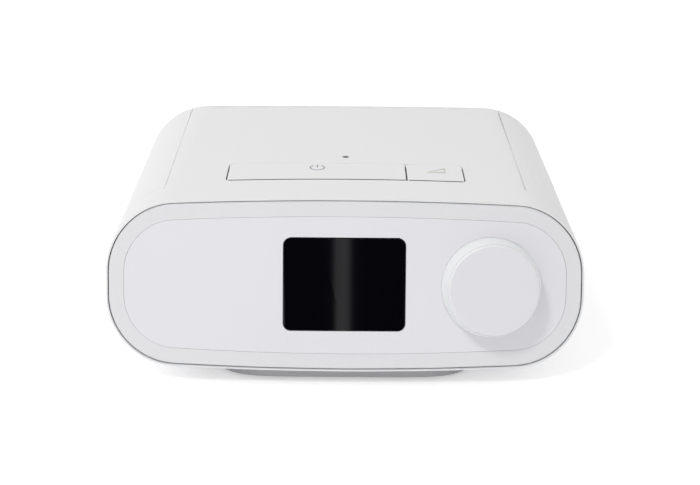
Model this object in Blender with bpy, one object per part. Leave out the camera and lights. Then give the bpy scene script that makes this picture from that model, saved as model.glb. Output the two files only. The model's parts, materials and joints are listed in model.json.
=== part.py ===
"""Free-standing CPAP machine for a bedside table, as separate pieces that fit and move.

Lengths are metres. X runs to the viewer's right, Y from the front to the rear and Z up.
The origin is on the table, in the middle of everything that stands on it.
"""

import math

import bmesh
import bpy
from mathutils import Matrix, Vector
from mathutils.geometry import intersect_line_plane

# Housing: a leaning, bowed front rim lofted to an upright rear rim
BODY_WIDTH = 0.1930
BODY_DEPTH = 0.1397
WALL = 0.0026
FACE_LEAN = math.radians(13.5)
FACE_BOW = 0.0024
FRONT_HEIGHT = 0.0701
FRONT_CORNER = 0.0272
FRONT_CROWN = 0.00305
FRONT_LIFT = 0.0067
FRONT_EDGE_ROUND = 0.0004
REAR_HEIGHT = 0.0766
REAR_CORNER = 0.0300
REAR_CROWN = 0.0006
REAR_LIFT = 0.0065
REAR_EDGE_ROUND = 0.0010
PARTING_Z = 0.0340

# Clearances that several pieces share
SEAT_GAP = 0.0003
PAST = 0.0040
FUSE = 0.0006
WELD_REACH = 0.000002

# Smoothness
CORNER_STEPS = 7
EDGE_STEPS = 4
ROUND_STEPS = 28
SMALL_ROUND_STEPS = 12
HIDDEN_STEPS = 20
DIAL_STEPS = 40
FOOT_STEPS = 16
SCREW_STEPS = 8

# Base: the shallow foot plate under the case, its rubber feet and the case screws
FOOT_PLATE_WIDTH = 0.1040
FOOT_PLATE_INSET_FRONT = 0.0090
FOOT_PLATE_INSET_REAR = 0.0120
FOOT_PLATE_CORNER = 0.0120
FOOT_PLATE_DRAFT = 0.0060
FOOT_PLATE_DRAFT_ENDS = 0.0010
FOOT_SHOW = 0.0008
FOOT_RADIUS = 0.0055
FOOT_SUNK = 0.0012
FOOT_EDGE_ROUND = 0.0003
FOOT_INSET = 0.0140
POST_X = 0.0560
FRONT_POST_BACK = 0.0201
REAR_POST_AHEAD = 0.0106
POST_RADIUS = 0.0042
SCREW_RADIUS = 0.0014
SCREW_HEAD_RADIUS = 0.0026
SCREW_HEAD_HEIGHT = 0.0020
SCREW_LENGTH = 0.0260
SCREW_HEAD_DROP = 0.0080
SCREW_DRIVE_RADIUS = 0.0010
SCREW_DRIVE_DEPTH = 0.0010

# Front panel: the ring in the case's front rim, and the overlay let into it
PANEL_RIM = 0.0008
PANEL_GAP = 0.0004
PANEL_THICKNESS = 0.0050
SKIRT_LENGTH = 0.0022
SKIRT_WALL = 0.0018
OVERLAY_BORDER = 0.0064
OVERLAY_THICKNESS = 0.0015

# Display, up the face from its middle
SCREEN_WIDTH = 0.0496
SCREEN_HEIGHT = 0.0372
SCREEN_CORNER = 0.0029
SCREEN_RISE = 0.00035
SCREEN_LEDGE = 0.0025
MODULE_BORDER = 0.0030
MODULE_THICKNESS = 0.0044
UI_BOARD_THICKNESS = 0.0016
UI_BOARD_LEFT = 0.0370
UI_BOARD_HEIGHT = 0.0290
UI_BOARD_DROP = 0.0015
UI_BOARD_EDGE = 0.0140
UI_BOSS_RADIUS = 0.0022
UI_BOSS_INSET = 0.0032

# Control dial, its shaft and the rotary switch behind it
DIAL_INSET = 0.0378
DIAL_RISE = -0.00035
DIAL_RADIUS = 0.0201
DIAL_FACE_RADIUS = 0.0170
DIAL_HEIGHT = 0.0130
DIAL_EDGE_ROUND = 0.0012
DIAL_WALL = 0.0018
DIAL_SKIRT = 0.0015
DIAL_GAP = 0.0005
DIAL_TRAVEL = 0.0007
DIAL_FLOOR = 0.0008
DIAL_HUB_RADIUS = 0.0052
SHAFT_RADIUS = 0.0030
SHAFT_IN_DIAL = 0.0070
ENCODER_WIDTH = 0.0120
ENCODER_COLLAR_RADIUS = 0.0042
ENCODER_COLLAR_HEIGHT = 0.0016
PLUNGER_RADIUS = 0.0026
PLUNGER_HEIGHT = 0.0008
PLUNGER_REST = 0.0002
ENCODER_FLOOR = 0.0006

# Buttons in the top, measured back from the middle of the face to their rear edge
BUTTON_REAR = 0.0521
BUTTON_LENGTH = 0.0205
BUTTON_BLOCK_WIDTH = 0.0996
BUTTON_SPLIT_X = 0.0255
BUTTON_GAP = 0.0006
BUTTON_CORNER = 0.0020
BUTTON_ARM_WIDTH = 0.0040
BUTTON_ARM_THICKNESS = 0.0012
BUTTON_ARM_REACH = 0.0040
BUTTON_ARM_ROOT = 0.0030
BUTTON_ARM_GAP = 0.0005
BUTTON_ARM_INSET = 0.0080
BUTTON_RIB = 0.0030
BUTTON_RIB_DROP = 0.0014
BUTTON_FREE_TRAVEL = 0.0010
POWER_RIB_X = -0.0120
RIB_AHEAD = 0.0150
SWITCH_WIDTH = 0.0060
SWITCH_HEIGHT = 0.0022
SWITCH_CAP_RADIUS = 0.0017
SWITCH_CAP_HEIGHT = 0.0010
BUTTON_BOARD_WIDTH = 0.0940
BUTTON_BOARD_AHEAD = 0.0270
BUTTON_BOARD_BEHIND = 0.0120
BOARD_THICKNESS = 0.0016
BUTTON_BOSS_RADIUS = 0.0024
BUTTON_BOSS_INSET = 0.0030
SENSOR_BEHIND = 0.0087
SENSOR_RADIUS = 0.0013

# Side openings: a hinged filter door on the right and a pull-off cover on the left
SEAM_INSET = 0.0220
DOOR_AHEAD = 0.0264
DOOR_REAR_MARGIN = 0.0063
DOOR_SILL = 0.0028
DOOR_THICKNESS = 0.0022
DOOR_GAP = 0.0003
NOSE_RADIUS = 0.0015
NOSE_GAP = 0.00045
NOSE_SHIFT = 0.0006
NOSE_STEPS = 6
PIN_RADIUS = 0.0008
PIN_LENGTH = 0.0020
PIN_GAP = 0.0003
PIN_REACH = 0.0023
HINGE_BOSS_LENGTH = 0.0026
HINGE_BOSS_HALF_WIDTH = 0.0026
HINGE_BOSS_DROP = 0.0032
HINGE_BOSS_RISE = 0.0003
COVER_SEAM_GAP = 0.0004
GROOVE_WIDTH = 0.0005
GROOVE_DEPTH = 0.0005
TONGUE_WIDTH = 0.0080
TONGUE_LENGTH = 0.0028
TONGUE_THICKNESS = 0.0014
TONGUE_SPACING = 0.0440
LOUVRE_COUNT = 7
LOUVRE_WIDTH = 0.0022
LOUVRE_HEIGHT = 0.0180
LOUVRE_PITCH = 0.0056
LOUVRE_RISE = 0.0060
NOTCH_RADIUS = 0.0110
NOTCH_HEIGHT = 0.0030

# Main board, level with the case's parting plane
BOARD_FRONT_BACK = 0.0151
BOARD_DEPTH = 0.0275
BOARD_WIDTH = 0.1760
BOARD_WING_DEPTH = 0.0375
BOARD_WING_X = 0.0380
BOARD_POST_X = 0.0340
BOARD_POST_INSET = 0.0045
BOARD_POST_RADIUS = 0.0030
SD_SOCKET_LENGTH = 0.0280
SD_SOCKET_INSET = 0.0015
SD_SOCKET_BACK = 0.0253
SD_SOCKET_WIDTH = 0.0265
SD_SOCKET_HEIGHT = 0.0046
SD_WALL = 0.0010
SD_CARD_WIDTH = 0.0240
SD_CARD_LENGTH = 0.0320
SD_CARD_THICKNESS = 0.0021
SD_CARD_TRAVEL = 0.0010
SD_CARD_CHAMFER = 0.0035
SD_CARD_GAP = 0.0003
CHIP_WIDTH = 0.0120
CHIP_HEIGHT = 0.0014
CHIP_X = -0.0100
SOUNDER_RADIUS = 0.0060
SOUNDER_HEIGHT = 0.0050
SOUNDER_HOLE = 0.0010
SOUNDER_X = 0.0220

# Accessory bay behind the left cover, with the connector in its front wall
BAY_WALL = 0.0016
BAY_MOUTH_INSET = 0.0115
BAY_DEPTH = 0.0200
BAY_FRONT_BACK = 0.0480
BAY_REAR_MARGIN = 0.0137
BAY_SILL = 0.0045
BAY_HEIGHT = 0.0275
BAY_POST_RADIUS = 0.0030
BAY_POST_INSET = 0.0110
CONNECTOR_WIDTH = 0.0110
CONNECTOR_HEIGHT = 0.0104
CONNECTOR_LENGTH = 0.0092
CONNECTOR_SLOT = 0.0020
CONNECTOR_SLOT_DEPTH = 0.0060
CONNECTOR_WALL = 0.0010
CONNECTOR_INSET = 0.0070
CONNECTOR_WINDOW = 0.0036
CONNECTOR_WINDOW_DROP = 0.0010

# Blower: scroll housing in two halves, impeller, motor and its rubber boot
BLOWER_X = -0.0075
SEAT_Z = 0.0105
SEAT_INNER = 0.0140
SEAT_OUTER = 0.0185
BOOT_BASE = 0.0020
BOOT_WALL = 0.0022
BOOT_HEIGHT = 0.0090
MOTOR_RADIUS = 0.0170
MOTOR_HEIGHT = 0.0145
MOTOR_WALL = 0.0012
MOTOR_BASE = 0.0016
BEARING_RADIUS = 0.0040
BEARING_HEIGHT = 0.0020
BEARING_SUNK = 0.0006
STATOR_BORE = 0.0086
STATOR_HEIGHT = 0.0080
STATOR_LIFT = 0.0044
STATOR_YOKE = 0.0024
STATOR_TEETH = 9
TOOTH_WIDTH = 0.0022
TOOTH_TIP_WIDTH = 0.0042
TOOTH_TIP = 0.0010
MAGNET_RADIUS = 0.0080
ROTOR_SHAFT_RADIUS = 0.0015
SCROLL_START = 0.0225
SCROLL_GROWTH = 0.0140
SCROLL_WALL = 0.0016
SCROLL_HEIGHT = 0.0174
SCROLL_STEPS = 26
DUCT_LENGTH = 0.0260
SPIGOT_RADIUS = 0.0086
SPIGOT_WALL = 0.0014
SPIGOT_LENGTH = 0.0070
SHAFT_CLEARANCE = 0.0006
INLET_RADIUS = 0.0110
INLET_LIP = 0.0022
IMPELLER_RADIUS = 0.0200
IMPELLER_DISC = 0.0012
IMPELLER_LIFT = 0.0022
HUB_RADIUS = 0.0055
HUB_HEIGHT = 0.0120
HUB_CAP = 0.0012
HUB_ROUND = 0.0015
BLADE_COUNT = 11
BLADE_THICKNESS = 0.0010
BLADE_INNER_HEIGHT = 0.0110
BLADE_TIP_HEIGHT = 0.0085
BLADE_ROOT_RADIUS = 0.0045
BLADE_EDGE = 0.0002
BLADE_STEPS = 5
BLADE_SWEEP = math.radians(58)
FOAM_MARGIN = 0.0040
FOAM_CLEARANCE = 0.0006
FOAM_Z = 0.0100
FOAM_LOWER_HEIGHT = 0.0360
FOAM_UPPER_HEIGHT = 0.0162
FOAM_UPPER_BEHIND = 0.0155
FOAM_CHANNEL_LIFT = 0.0038
FOAM_RIGHT = 0.0450
FOAM_LEFT = 0.0400
FLOW_SENSOR_WIDTH = 0.0130
FLOW_SENSOR_DEPTH = 0.0080
FLOW_SENSOR_HEIGHT = 0.0060
FLOW_SENSOR_BEHIND = 0.0165

# Filter chamber behind the door
CHAMBER_MOUTH_INSET = 0.0125
CHAMBER_DEPTH = 0.0270
CHAMBER_FRONT_BACK = 0.0541
CHAMBER_LENGTH = 0.0520
CHAMBER_SILL = 0.0070
CHAMBER_HEIGHT = 0.0260
CHAMBER_WALL = 0.0016
SNOUT_WIDTH = 0.0300
SNOUT_HEIGHT = 0.0120
POLLEN_THICKNESS = 0.0080
POLLEN_FRAME = 0.0020
POLLEN_RECESS = 0.0010
FINE_THICKNESS = 0.0035
FINE_SHEET = 0.0011
FINE_FOLDS = 18
FILTER_LIP = 0.0020
SHELF_THICKNESS = 0.0016
SHELF_INSET = 0.0055

# Rear: panel, round pocket with the air outlet, power inlet and heater connector
REAR_RIM = 0.0016
REAR_GAP = 0.0003
REAR_RECESS = 0.0004
REAR_THICKNESS = 0.0025
POCKET_RADIUS = 0.0210
POCKET_DEPTH = 0.0140
POCKET_WALL = 0.0016
CUP_STEPS = 36
OUTLET_RADIUS = 0.0110
OUTLET_TAPER = 0.0003
OUTLET_BORE = 0.0090
OUTLET_PROUD = 0.0060
OUTLET_FLANGE_RADIUS = 0.0142
OUTLET_FLANGE = 0.0020
OUTLET_SPIGOT = 0.0060
SLEEVE_WALL = 0.0017
SLEEVE_LENGTH = 0.0118
SLEEVE_CLEARANCE = 0.0010
JACK_X = -0.0665
JACK_Z = 0.0300
JACK_WIDTH = 0.0118
JACK_HEIGHT = 0.0108
JACK_LENGTH = 0.0150
JACK_BARREL_RADIUS = 0.0050
JACK_BORE = 0.0036
JACK_BORE_DEPTH = 0.0100
JACK_PIN_RADIUS = 0.0008
JACK_PIN_RECESS = 0.0020
HEATER_X = -0.0300
HEATER_Z = 0.0210
HEATER_WIDTH = 0.0220
HEATER_HEIGHT = 0.0100
HEATER_LENGTH = 0.0095
HEATER_STEP = 0.0010
HEATER_SLOT_WIDTH = 0.0020
HEATER_SLOT_COUNT = 4
HEATER_SLOT_PITCH = 0.0042
HEATER_SLOT_DEPTH = 0.0060
LATCH_SLOT_WIDTH = 0.0120
LATCH_SLOT_HEIGHT = 0.0030
LATCH_SLOT_X = 0.0600
LATCH_SLOT_Z = 0.0165

# Power board on the left of the blower
POWER_BOARD_WIDTH = 0.0320
POWER_BOARD_INNER_X = 0.0480
POWER_BOARD_AHEAD = 0.0155
POWER_BOARD_LENGTH = 0.0700
POWER_BOARD_Z = 0.0165
POWER_POST_RADIUS = 0.0028
POWER_POST_INSET = 0.0045
CAPACITOR_RADIUS = 0.0050
CAPACITOR_HEIGHT = 0.0150
CAPACITOR_SPACING = 0.0140
CAPACITOR_BACK = 0.0160
CAPACITOR_ROUND = 0.0006
CHOKE_RADIUS = 0.0075
CHOKE_TUBE = 0.0026
CHOKE_STEPS = 8
CHOKE_BACK = 0.0480

# Flat leads between the boards and the motor
RIBBON_THICKNESS = 0.0005
UI_RIBBON_WIDTH = 0.0160
UI_RIBBON_X = -0.0240
UI_RIBBON_TOP = 0.0060
UI_RIBBON_GRIP = 0.0050
BUTTON_RIBBON_WIDTH = 0.0120
BUTTON_RIBBON_X = -0.0300
BUTTON_RIBBON_BACK = 0.0382
BUTTON_RIBBON_GRIP = 0.0040
MOTOR_LEAD_WIDTH = 0.0060
MOTOR_LEAD_LIFT = 0.0090
MOTOR_LEAD_INSET = 0.0035
LEAD_THICKNESS = 0.0012
LEAD_NOTCH_WIDTH = 0.0080
LEAD_NOTCH_DROP = 0.0010

# Places worked out from the sizes above
SIDE = BODY_WIDTH / 2
FACE_HALF = FRONT_HEIGHT / 2 - FRONT_CROWN
REAR_HALF = REAR_HEIGHT / 2 - REAR_CROWN
FACE_Z = FRONT_LIFT + FRONT_HEIGHT / 2 * math.cos(FACE_LEAN)
DIAL_X = SIDE - DIAL_INSET
DIAL_FALL = FACE_BOW * (DIAL_X / SIDE) ** 2
DIAL_TOP = DIAL_HEIGHT - DIAL_FALL
DIAL_BASE = -DIAL_FALL - DIAL_SKIRT
DIAL_REACH = DIAL_TOP * math.cos(FACE_LEAN) + (DIAL_FACE_RADIUS - DIAL_RISE) * math.sin(FACE_LEAN)
FACE_Y = (DIAL_REACH - BODY_DEPTH - OUTLET_PROUD) / 2
REAR_Y = FACE_Y + BODY_DEPTH
REAR_Z = REAR_LIFT + REAR_HEIGHT / 2
FACE = Matrix.Translation((0, FACE_Y, FACE_Z)) @ Matrix.Rotation(math.radians(90) - FACE_LEAN, 4, "X")
PANEL_INSET = PANEL_RIM + PANEL_GAP
OVERLAY_INSET = PANEL_INSET + OVERLAY_BORDER

BLOWER_Z = SEAT_Z + SEAT_GAP + BOOT_BASE + SEAT_GAP
SCROLL_Z = BLOWER_Z + MOTOR_HEIGHT + SEAT_GAP
SCROLL_TOP = SCROLL_Z + SCROLL_HEIGHT + 2 * SCROLL_WALL
OUTLET_Z = SCROLL_Z + SCROLL_WALL + SCROLL_HEIGHT / 2
OUTLET_X = BLOWER_X + SCROLL_START + SCROLL_GROWTH / 2
FLANGE_AHEAD = POCKET_DEPTH + POCKET_WALL + SEAT_GAP
SLEEVE_AHEAD = FLANGE_AHEAD + OUTLET_FLANGE + SEAT_GAP
SPIGOTS_MEET_AHEAD = FLANGE_AHEAD + OUTLET_FLANGE + OUTLET_SPIGOT
BLOWER_Y = REAR_Y - SPIGOTS_MEET_AHEAD - 2 * SEAT_GAP - SPIGOT_LENGTH - DUCT_LENGTH
BLOWER = Matrix.Translation((BLOWER_X, BLOWER_Y, 0))
FOAM_UPPER_Z = SCROLL_TOP + SEAT_GAP
CHANNEL_Z = FOAM_UPPER_Z + FOAM_CHANNEL_LIFT

BOARD_Z = PARTING_Z + SEAT_GAP / 2
BOARD_TOP = BOARD_Z + BOARD_THICKNESS
BOARD_Y = FACE_Y + BOARD_FRONT_BACK
OPENING_Z = PARTING_Z + DOOR_SILL
SEAM_X = SIDE - SEAM_INSET
BAY_MOUTH_X = SIDE - BAY_MOUTH_INSET
BAY_INNER_X = BAY_MOUTH_X - BAY_DEPTH
BAY_Y = FACE_Y + BAY_FRONT_BACK
BAY_LENGTH = REAR_Y - BAY_REAR_MARGIN - BAY_Y
BAY_Z = PARTING_Z + BAY_SILL
CHAMBER_MOUTH_X = SIDE - CHAMBER_MOUTH_INSET
CHAMBER_INNER_X = CHAMBER_MOUTH_X - CHAMBER_DEPTH
CHAMBER_Y = FACE_Y + CHAMBER_FRONT_BACK
CHAMBER_Z = PARTING_Z + CHAMBER_SILL


def outline(half_width, half_height, corner, crown):
    """Rounded rectangle, anticlockwise from its right side, whose long edges swell by crown."""
    points = []
    for turn in range(4):
        across = (half_width - corner) * (1 if turn in (0, 3) else -1)
        up = (half_height - corner) * (1 if turn < 2 else -1)
        for step in range(CORNER_STEPS + 1):
            angle = math.radians(90) * (turn + step / CORNER_STEPS)
            points.append((across + corner * math.cos(angle), up + corner * math.sin(angle)))
        if turn in (0, 2):
            edge = math.copysign(half_height, up)
            points += [(across * (1 - 2 * step / EDGE_STEPS), edge) for step in range(1, EDGE_STEPS)]
    return [(x, v + math.copysign(crown * (1 - (x / half_width) ** 2), v)) for x, v in points]


def edge_height(x, half_width, half_height, corner, crown):
    """How high the upper edge of such an outline stands above its middle, at x."""
    past = max(0, abs(x) - half_width + corner)
    return half_height - corner + math.sqrt(corner**2 - past**2) + crown * (1 - (x / half_width) ** 2)


def face_point(x, up, back=0):
    """A point on the bowed face, up the lean from its middle, or straight behind it."""
    point = FACE @ Vector((x, up, -FACE_BOW * (x / SIDE) ** 2))
    point.y += back
    return point


def behind_face(x):
    """How far the front panel's back lies behind the face plane, square to it, at x."""
    return PANEL_THICKNESS * math.cos(FACE_LEAN) + FACE_BOW * (x / SIDE) ** 2


def front_ring(inset, back=0):
    flat = outline(SIDE - inset, FACE_HALF - inset, FRONT_CORNER - inset, FRONT_CROWN)
    return [face_point(x, up, back) for x, up in flat]


def rear_ring(inset, ahead=0):
    flat = outline(SIDE - inset, REAR_HALF - inset, REAR_CORNER - inset, REAR_CROWN)
    return [Vector((x, REAR_Y - ahead, REAR_Z + up)) for x, up in flat]


def between(first, second, share):
    return [a.lerp(b, share) for a, b in zip(first, second)]


def case_z(x, y, side=1):
    """Height of the case's outer surface at x, y: its top, or its underside where side is -1."""
    up = side * edge_height(x, SIDE, FACE_HALF, FRONT_CORNER, FRONT_CROWN)
    front = face_point(x, up)
    rear = REAR_Z + side * edge_height(x, SIDE, REAR_HALF, REAR_CORNER, REAR_CROWN)
    return front.z + (rear - front.z) * (y - front.y) / (REAR_Y - front.y)


HINGE_Y = FACE_Y + BUTTON_REAR
TOP_SLOPE = math.atan2(case_z(0, REAR_Y) - case_z(0, HINGE_Y), REAR_Y - HINGE_Y)
TOP = Matrix.Translation((0, HINGE_Y, case_z(0, HINGE_Y))) @ Matrix.Rotation(TOP_SLOPE, 4, "X")


def paint(name, colour, roughness, metallic=0.0):
    material = bpy.data.materials.new(name)
    material.use_nodes = True
    shader = material.node_tree.nodes["Principled BSDF"]
    shader.inputs["Base Color"].default_value = (*colour, 1)
    shader.inputs["Roughness"].default_value = roughness
    shader.inputs["Metallic"].default_value = metallic
    material.diffuse_color = (*colour, 1)
    return material


def make(name, mesh, material, frame=Matrix()):
    """Turns a bmesh into an object in the scene, its faces outwards and its round sides smooth."""
    bmesh.ops.recalc_face_normals(mesh, faces=mesh.faces)
    data = bpy.data.meshes.new(name)
    mesh.to_mesh(data)
    mesh.free()
    data.shade_smooth()
    data.set_sharp_from_angle(angle=math.radians(35))
    if material:
        data.materials.append(material)
    made = bpy.data.objects.new(name, data)
    made.matrix_world = frame
    bpy.context.scene.collection.objects.link(made)
    return made


def loft(name, rings, material=None, strips=False, frame=Matrix()):
    """Skin through rings of equal count. Ends are flat, or upright strips that follow a bow."""
    mesh = bmesh.new()
    rows = [[mesh.verts.new(point) for point in ring] for ring in rings]
    count = len(rows[0])
    for first, second in zip(rows, rows[1:]):
        for i in range(count):
            j = (i + 1) % count
            mesh.faces.new((first[i], first[j], second[j], second[i]))
    for row in (rows[0], rows[-1]):
        if strips:
            for i in range(count // 2 - 1):
                mesh.faces.new((row[i], row[i + 1], row[count - 2 - i], row[count - 1 - i]))
        else:
            mesh.faces.new(row)
    mesh.normal_update()
    bmesh.ops.triangulate(mesh, faces=mesh.faces)
    return make(name, mesh, material, frame)


def prism(name, points, low, high, material=None, frame=Matrix()):
    """A flat outline pushed up from low to high along its frame's Z."""
    return loft(name, [[(x, y, z) for x, y in points] for z in (low, high)], material, frame=frame)


def circle(radius, steps=ROUND_STEPS):
    turns = [2 * math.pi * step / steps for step in range(steps)]
    return [(radius * math.cos(turn), radius * math.sin(turn)) for turn in turns]


def disc(name, radius, low, high, material=None, frame=Matrix(), steps=ROUND_STEPS):
    return prism(name, circle(radius, steps), low, high, material, frame)


def box(name, low, high, material=None, frame=Matrix()):
    (x0, y0, z0), (x1, y1, z1) = low, high
    return prism(name, [(x0, y0), (x1, y0), (x1, y1), (x0, y1)], z0, z1, material, frame)


def rounded(low, high, radius, steps=4):
    """Outline of a rectangle from low to high with round corners."""
    points = []
    corners = (high[0], high[1]), (low[0], high[1]), (low[0], low[1]), (high[0], low[1])
    for turn, (x, y) in enumerate(corners):
        inward_x = math.copysign(radius, low[0] + high[0] - 2 * x)
        inward_y = math.copysign(radius, low[1] + high[1] - 2 * y)
        for step in range(steps + 1):
            angle = math.radians(90) * (turn + step / steps)
            points.append((x + inward_x + radius * math.cos(angle), y + inward_y + radius * math.sin(angle)))
    return points


def revolve(name, profile, material=None, frame=Matrix(), steps=ROUND_STEPS):
    """A profile of (radius, height) points turned about Z. It ends on the axis, or closes on itself."""
    mesh = bmesh.new()
    rows = []
    for radius, height in profile:
        if radius:
            rows.append([mesh.verts.new((x, y, height)) for x, y in circle(radius, steps)])
        else:
            rows.append([mesh.verts.new((0, 0, height))] * steps)
    ends_on_axis = profile[0][0] == 0
    pairs = list(zip(rows, rows[1:])) + ([] if ends_on_axis else [(rows[-1], rows[0])])
    for first, second in pairs:
        for i in range(steps):
            j = (i + 1) % steps
            corners = dict.fromkeys((first[i], first[j], second[j], second[i]))
            mesh.faces.new(tuple(corners))
    return make(name, mesh, material, frame)


def ring(name, inner, outer, low, high, material=None, frame=Matrix(), steps=ROUND_STEPS):
    return revolve(name, [(outer, low), (outer, high), (inner, high), (inner, low)], material, frame, steps)


def shape(piece, operation, tools):
    for tool in tools:
        tool.hide_render = True
        tool.display_type = "WIRE"
        modifier = piece.modifiers.new(f"{operation.lower()} {tool.name}", "BOOLEAN")
        modifier.operation = operation
        modifier.object = tool
        modifier.solver = "EXACT"
        weld = piece.modifiers.new(f"weld after {tool.name}", "WELD")
        weld.merge_threshold = WELD_REACH
    return piece


def cut(piece, *tools):
    return shape(piece, "DIFFERENCE", tools)


def keep(piece, *tools):
    return shape(piece, "INTERSECT", tools)


def fuse(piece, *tools):
    return shape(piece, "UNION", tools)


def slab(name, half_width, half_height, corner, crown, near, far, material=None, rise=0):
    """A plate that follows the face's lean and bow, its edges running straight back."""
    flat = outline(half_width, half_height, corner, crown)
    rings = [[face_point(x, up + rise, back) for x, up in flat] for back in (near, far)]
    return loft(name, rings, material, strips=True)


def carry(joint_name, frame, *pieces):
    """Hangs pieces from an empty on their joint's axis, without moving them."""
    empty = bpy.data.objects.new(joint_name, None)
    empty.matrix_world = frame
    bpy.context.scene.collection.objects.link(empty)
    for piece in pieces:
        piece.parent = empty
        piece.matrix_parent_inverse = frame.inverted()
    return empty


# Side openings


def corner_point(angle, inset, plane_point, axis):
    """Where the case's ruled upper corner, drawn in by inset, crosses a plane; angle rises from the side."""
    ends = []
    for half_height, corner, crown in (
        (FACE_HALF, FRONT_CORNER, FRONT_CROWN),
        (REAR_HALF, REAR_CORNER, REAR_CROWN),
    ):
        x = SIDE - corner + (corner - inset) * math.cos(angle)
        up = half_height - corner + (corner - inset) * math.sin(angle)
        ends.append((x, up + crown * (1 - (x / (SIDE - inset)) ** 2)))
    front = face_point(*ends[0])
    rear = Vector((ends[1][0], REAR_Y, REAR_Z + ends[1][1]))
    return intersect_line_plane(front, rear, plane_point, axis)


def seam_angle(x, inset, plane_point, axis):
    """The corner angle at which the surface, drawn in by inset, stands at x."""
    low, high = 0, math.radians(90)
    for _ in range(40):
        middle = (low + high) / 2
        if corner_point(middle, inset, plane_point, axis).x > x:
            low = middle
        else:
            high = middle
    return low


def at_height(x, z, plane_point, axis):
    """The point of a near-upright plane at x and z."""
    return intersect_line_plane(Vector((x, FACE_Y, z)), Vector((x, REAR_Y, z)), plane_point, axis)


def skin_run(x, inset, bottom, plane_point, axis):
    """Points down the case's side from x on its top to the opening's lower edge."""
    start = seam_angle(x, inset, plane_point, axis)
    angles = [start * (1 - step / CORNER_STEPS) for step in range(CORNER_STEPS + 1)]
    run = [corner_point(angle, inset, plane_point, axis) for angle in angles]
    return run + [at_height(SIDE - inset, bottom, plane_point, axis)]


UPRIGHT = Vector((0, 1, 0))
DOOR_FRONT_Y = FACE_Y + DOOR_AHEAD
DOOR_REAR_Y = REAR_Y - DOOR_REAR_MARGIN
NOSE_X = SEAM_X + NOSE_SHIFT


def hinge_end(y, axis):
    """The hinge's axis point where the door's nose touches the case's skin, at depth y."""
    plane_point = Vector((0, y, case_z(SEAM_X, y)))
    angle = seam_angle(NOSE_X, 0, plane_point, axis)
    touch = corner_point(angle, 0, plane_point, axis)
    inward = Vector((-math.cos(angle), 0, -math.sin(angle)))
    return touch + inward * NOSE_RADIUS


HINGE_FRONT = hinge_end(DOOR_FRONT_Y, UPRIGHT)
HINGE_REAR = hinge_end(DOOR_REAR_Y, UPRIGHT)
HINGE_AXIS = (HINGE_REAR - HINGE_FRONT).normalized()
HINGE_SIDE = HINGE_AXIS.cross(Vector((0, 0, 1))).normalized()
HINGE_UP = HINGE_SIDE.cross(HINGE_AXIS)
HINGE_LENGTH = (HINGE_REAR - HINGE_FRONT).length
HINGE = Matrix((HINGE_SIDE, HINGE_AXIS, HINGE_UP)).transposed().to_4x4()
HINGE.translation = HINGE_FRONT
PIN = HINGE @ Matrix.Rotation(math.radians(-90), 4, "X")


def door_section(along, nose, outer_inset, inner_inset, bottom):
    """The hinged door's outline in the plane square to its hinge, along from the hinge's front end."""
    centre = HINGE_FRONT + HINGE_AXIS * along
    angle = seam_angle(NOSE_X, 0, centre, HINGE_AXIS)
    outer = skin_run(NOSE_X, outer_inset, bottom, centre, HINGE_AXIS)
    inner = skin_run(NOSE_X + 2 * NOSE_RADIUS, inner_inset, bottom, centre, HINGE_AXIS)
    arc = []
    for step in range(NOSE_STEPS + 1):
        turn = angle + math.pi * step / NOSE_STEPS
        arc.append(centre + (HINGE_SIDE * math.cos(turn) + HINGE_UP * math.sin(turn)) * nose)
    return outer[1:] + inner[::-1] + arc[::-1]


def cover_section(y, edge_x, outer_inset, inner_inset, bottom):
    """The pull-off cover's outline in an upright plane, mirrored to the left side."""
    plane_point = Vector((0, y, 0))
    outer = skin_run(edge_x, outer_inset, bottom, plane_point, UPRIGHT)
    inner = skin_run(edge_x, inner_inset, bottom, plane_point, UPRIGHT)
    return [Vector((-point.x, point.y, point.z)) for point in outer + inner[::-1]]


def door_opening():
    """What the filter door's opening takes out of the case, rounded round the door's nose."""
    sections = [
        door_section(along, NOSE_RADIUS + NOSE_GAP, -PAST, WALL + PAST, OPENING_Z)
        for along in (-DOOR_GAP, HINGE_LENGTH + DOOR_GAP)
    ]
    return loft("door_opening", sections)


def cover_opening():
    sections = [
        cover_section(y, SEAM_X, -PAST, WALL + PAST, OPENING_Z)
        for y in (DOOR_FRONT_Y - DOOR_GAP, DOOR_REAR_Y + DOOR_GAP)
    ]
    return loft("cover_opening", sections, strips=True)


def build_filter_door(material):
    sections = [
        door_section(along, NOSE_RADIUS, 0, DOOR_THICKNESS, OPENING_Z + DOOR_GAP)
        for along in (0, HINGE_LENGTH)
    ]
    door = loft("filter_door", sections, material)
    fuse(door, pin_run("door_pins", PIN_RADIUS, PIN_LENGTH))
    middle = (DOOR_FRONT_Y + DOOR_REAR_Y) / 2
    louvre_z = CHAMBER_Z + LOUVRE_RISE
    for i in range(LOUVRE_COUNT):
        y = CHAMBER_Y + CHAMBER_LENGTH / 2 + (i - (LOUVRE_COUNT - 1) / 2) * LOUVRE_PITCH
        low = (SIDE - DOOR_THICKNESS - PAST, y - LOUVRE_WIDTH / 2, louvre_z)
        high = (SIDE + PAST, y + LOUVRE_WIDTH / 2, louvre_z + LOUVRE_HEIGHT)
        cut(door, box(f"louvre_{i + 1}", low, high))
    cut(door, finger_notch("door_notch", 1, middle))
    return fuse(door, *tongues("door_tongue", 1, middle))


def pin_run(name, radius, reach):
    """A round bar along the hinge, past both ends of the door."""
    return disc(name, radius, -reach, HINGE_LENGTH + reach, frame=PIN, steps=SMALL_ROUND_STEPS)


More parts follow.
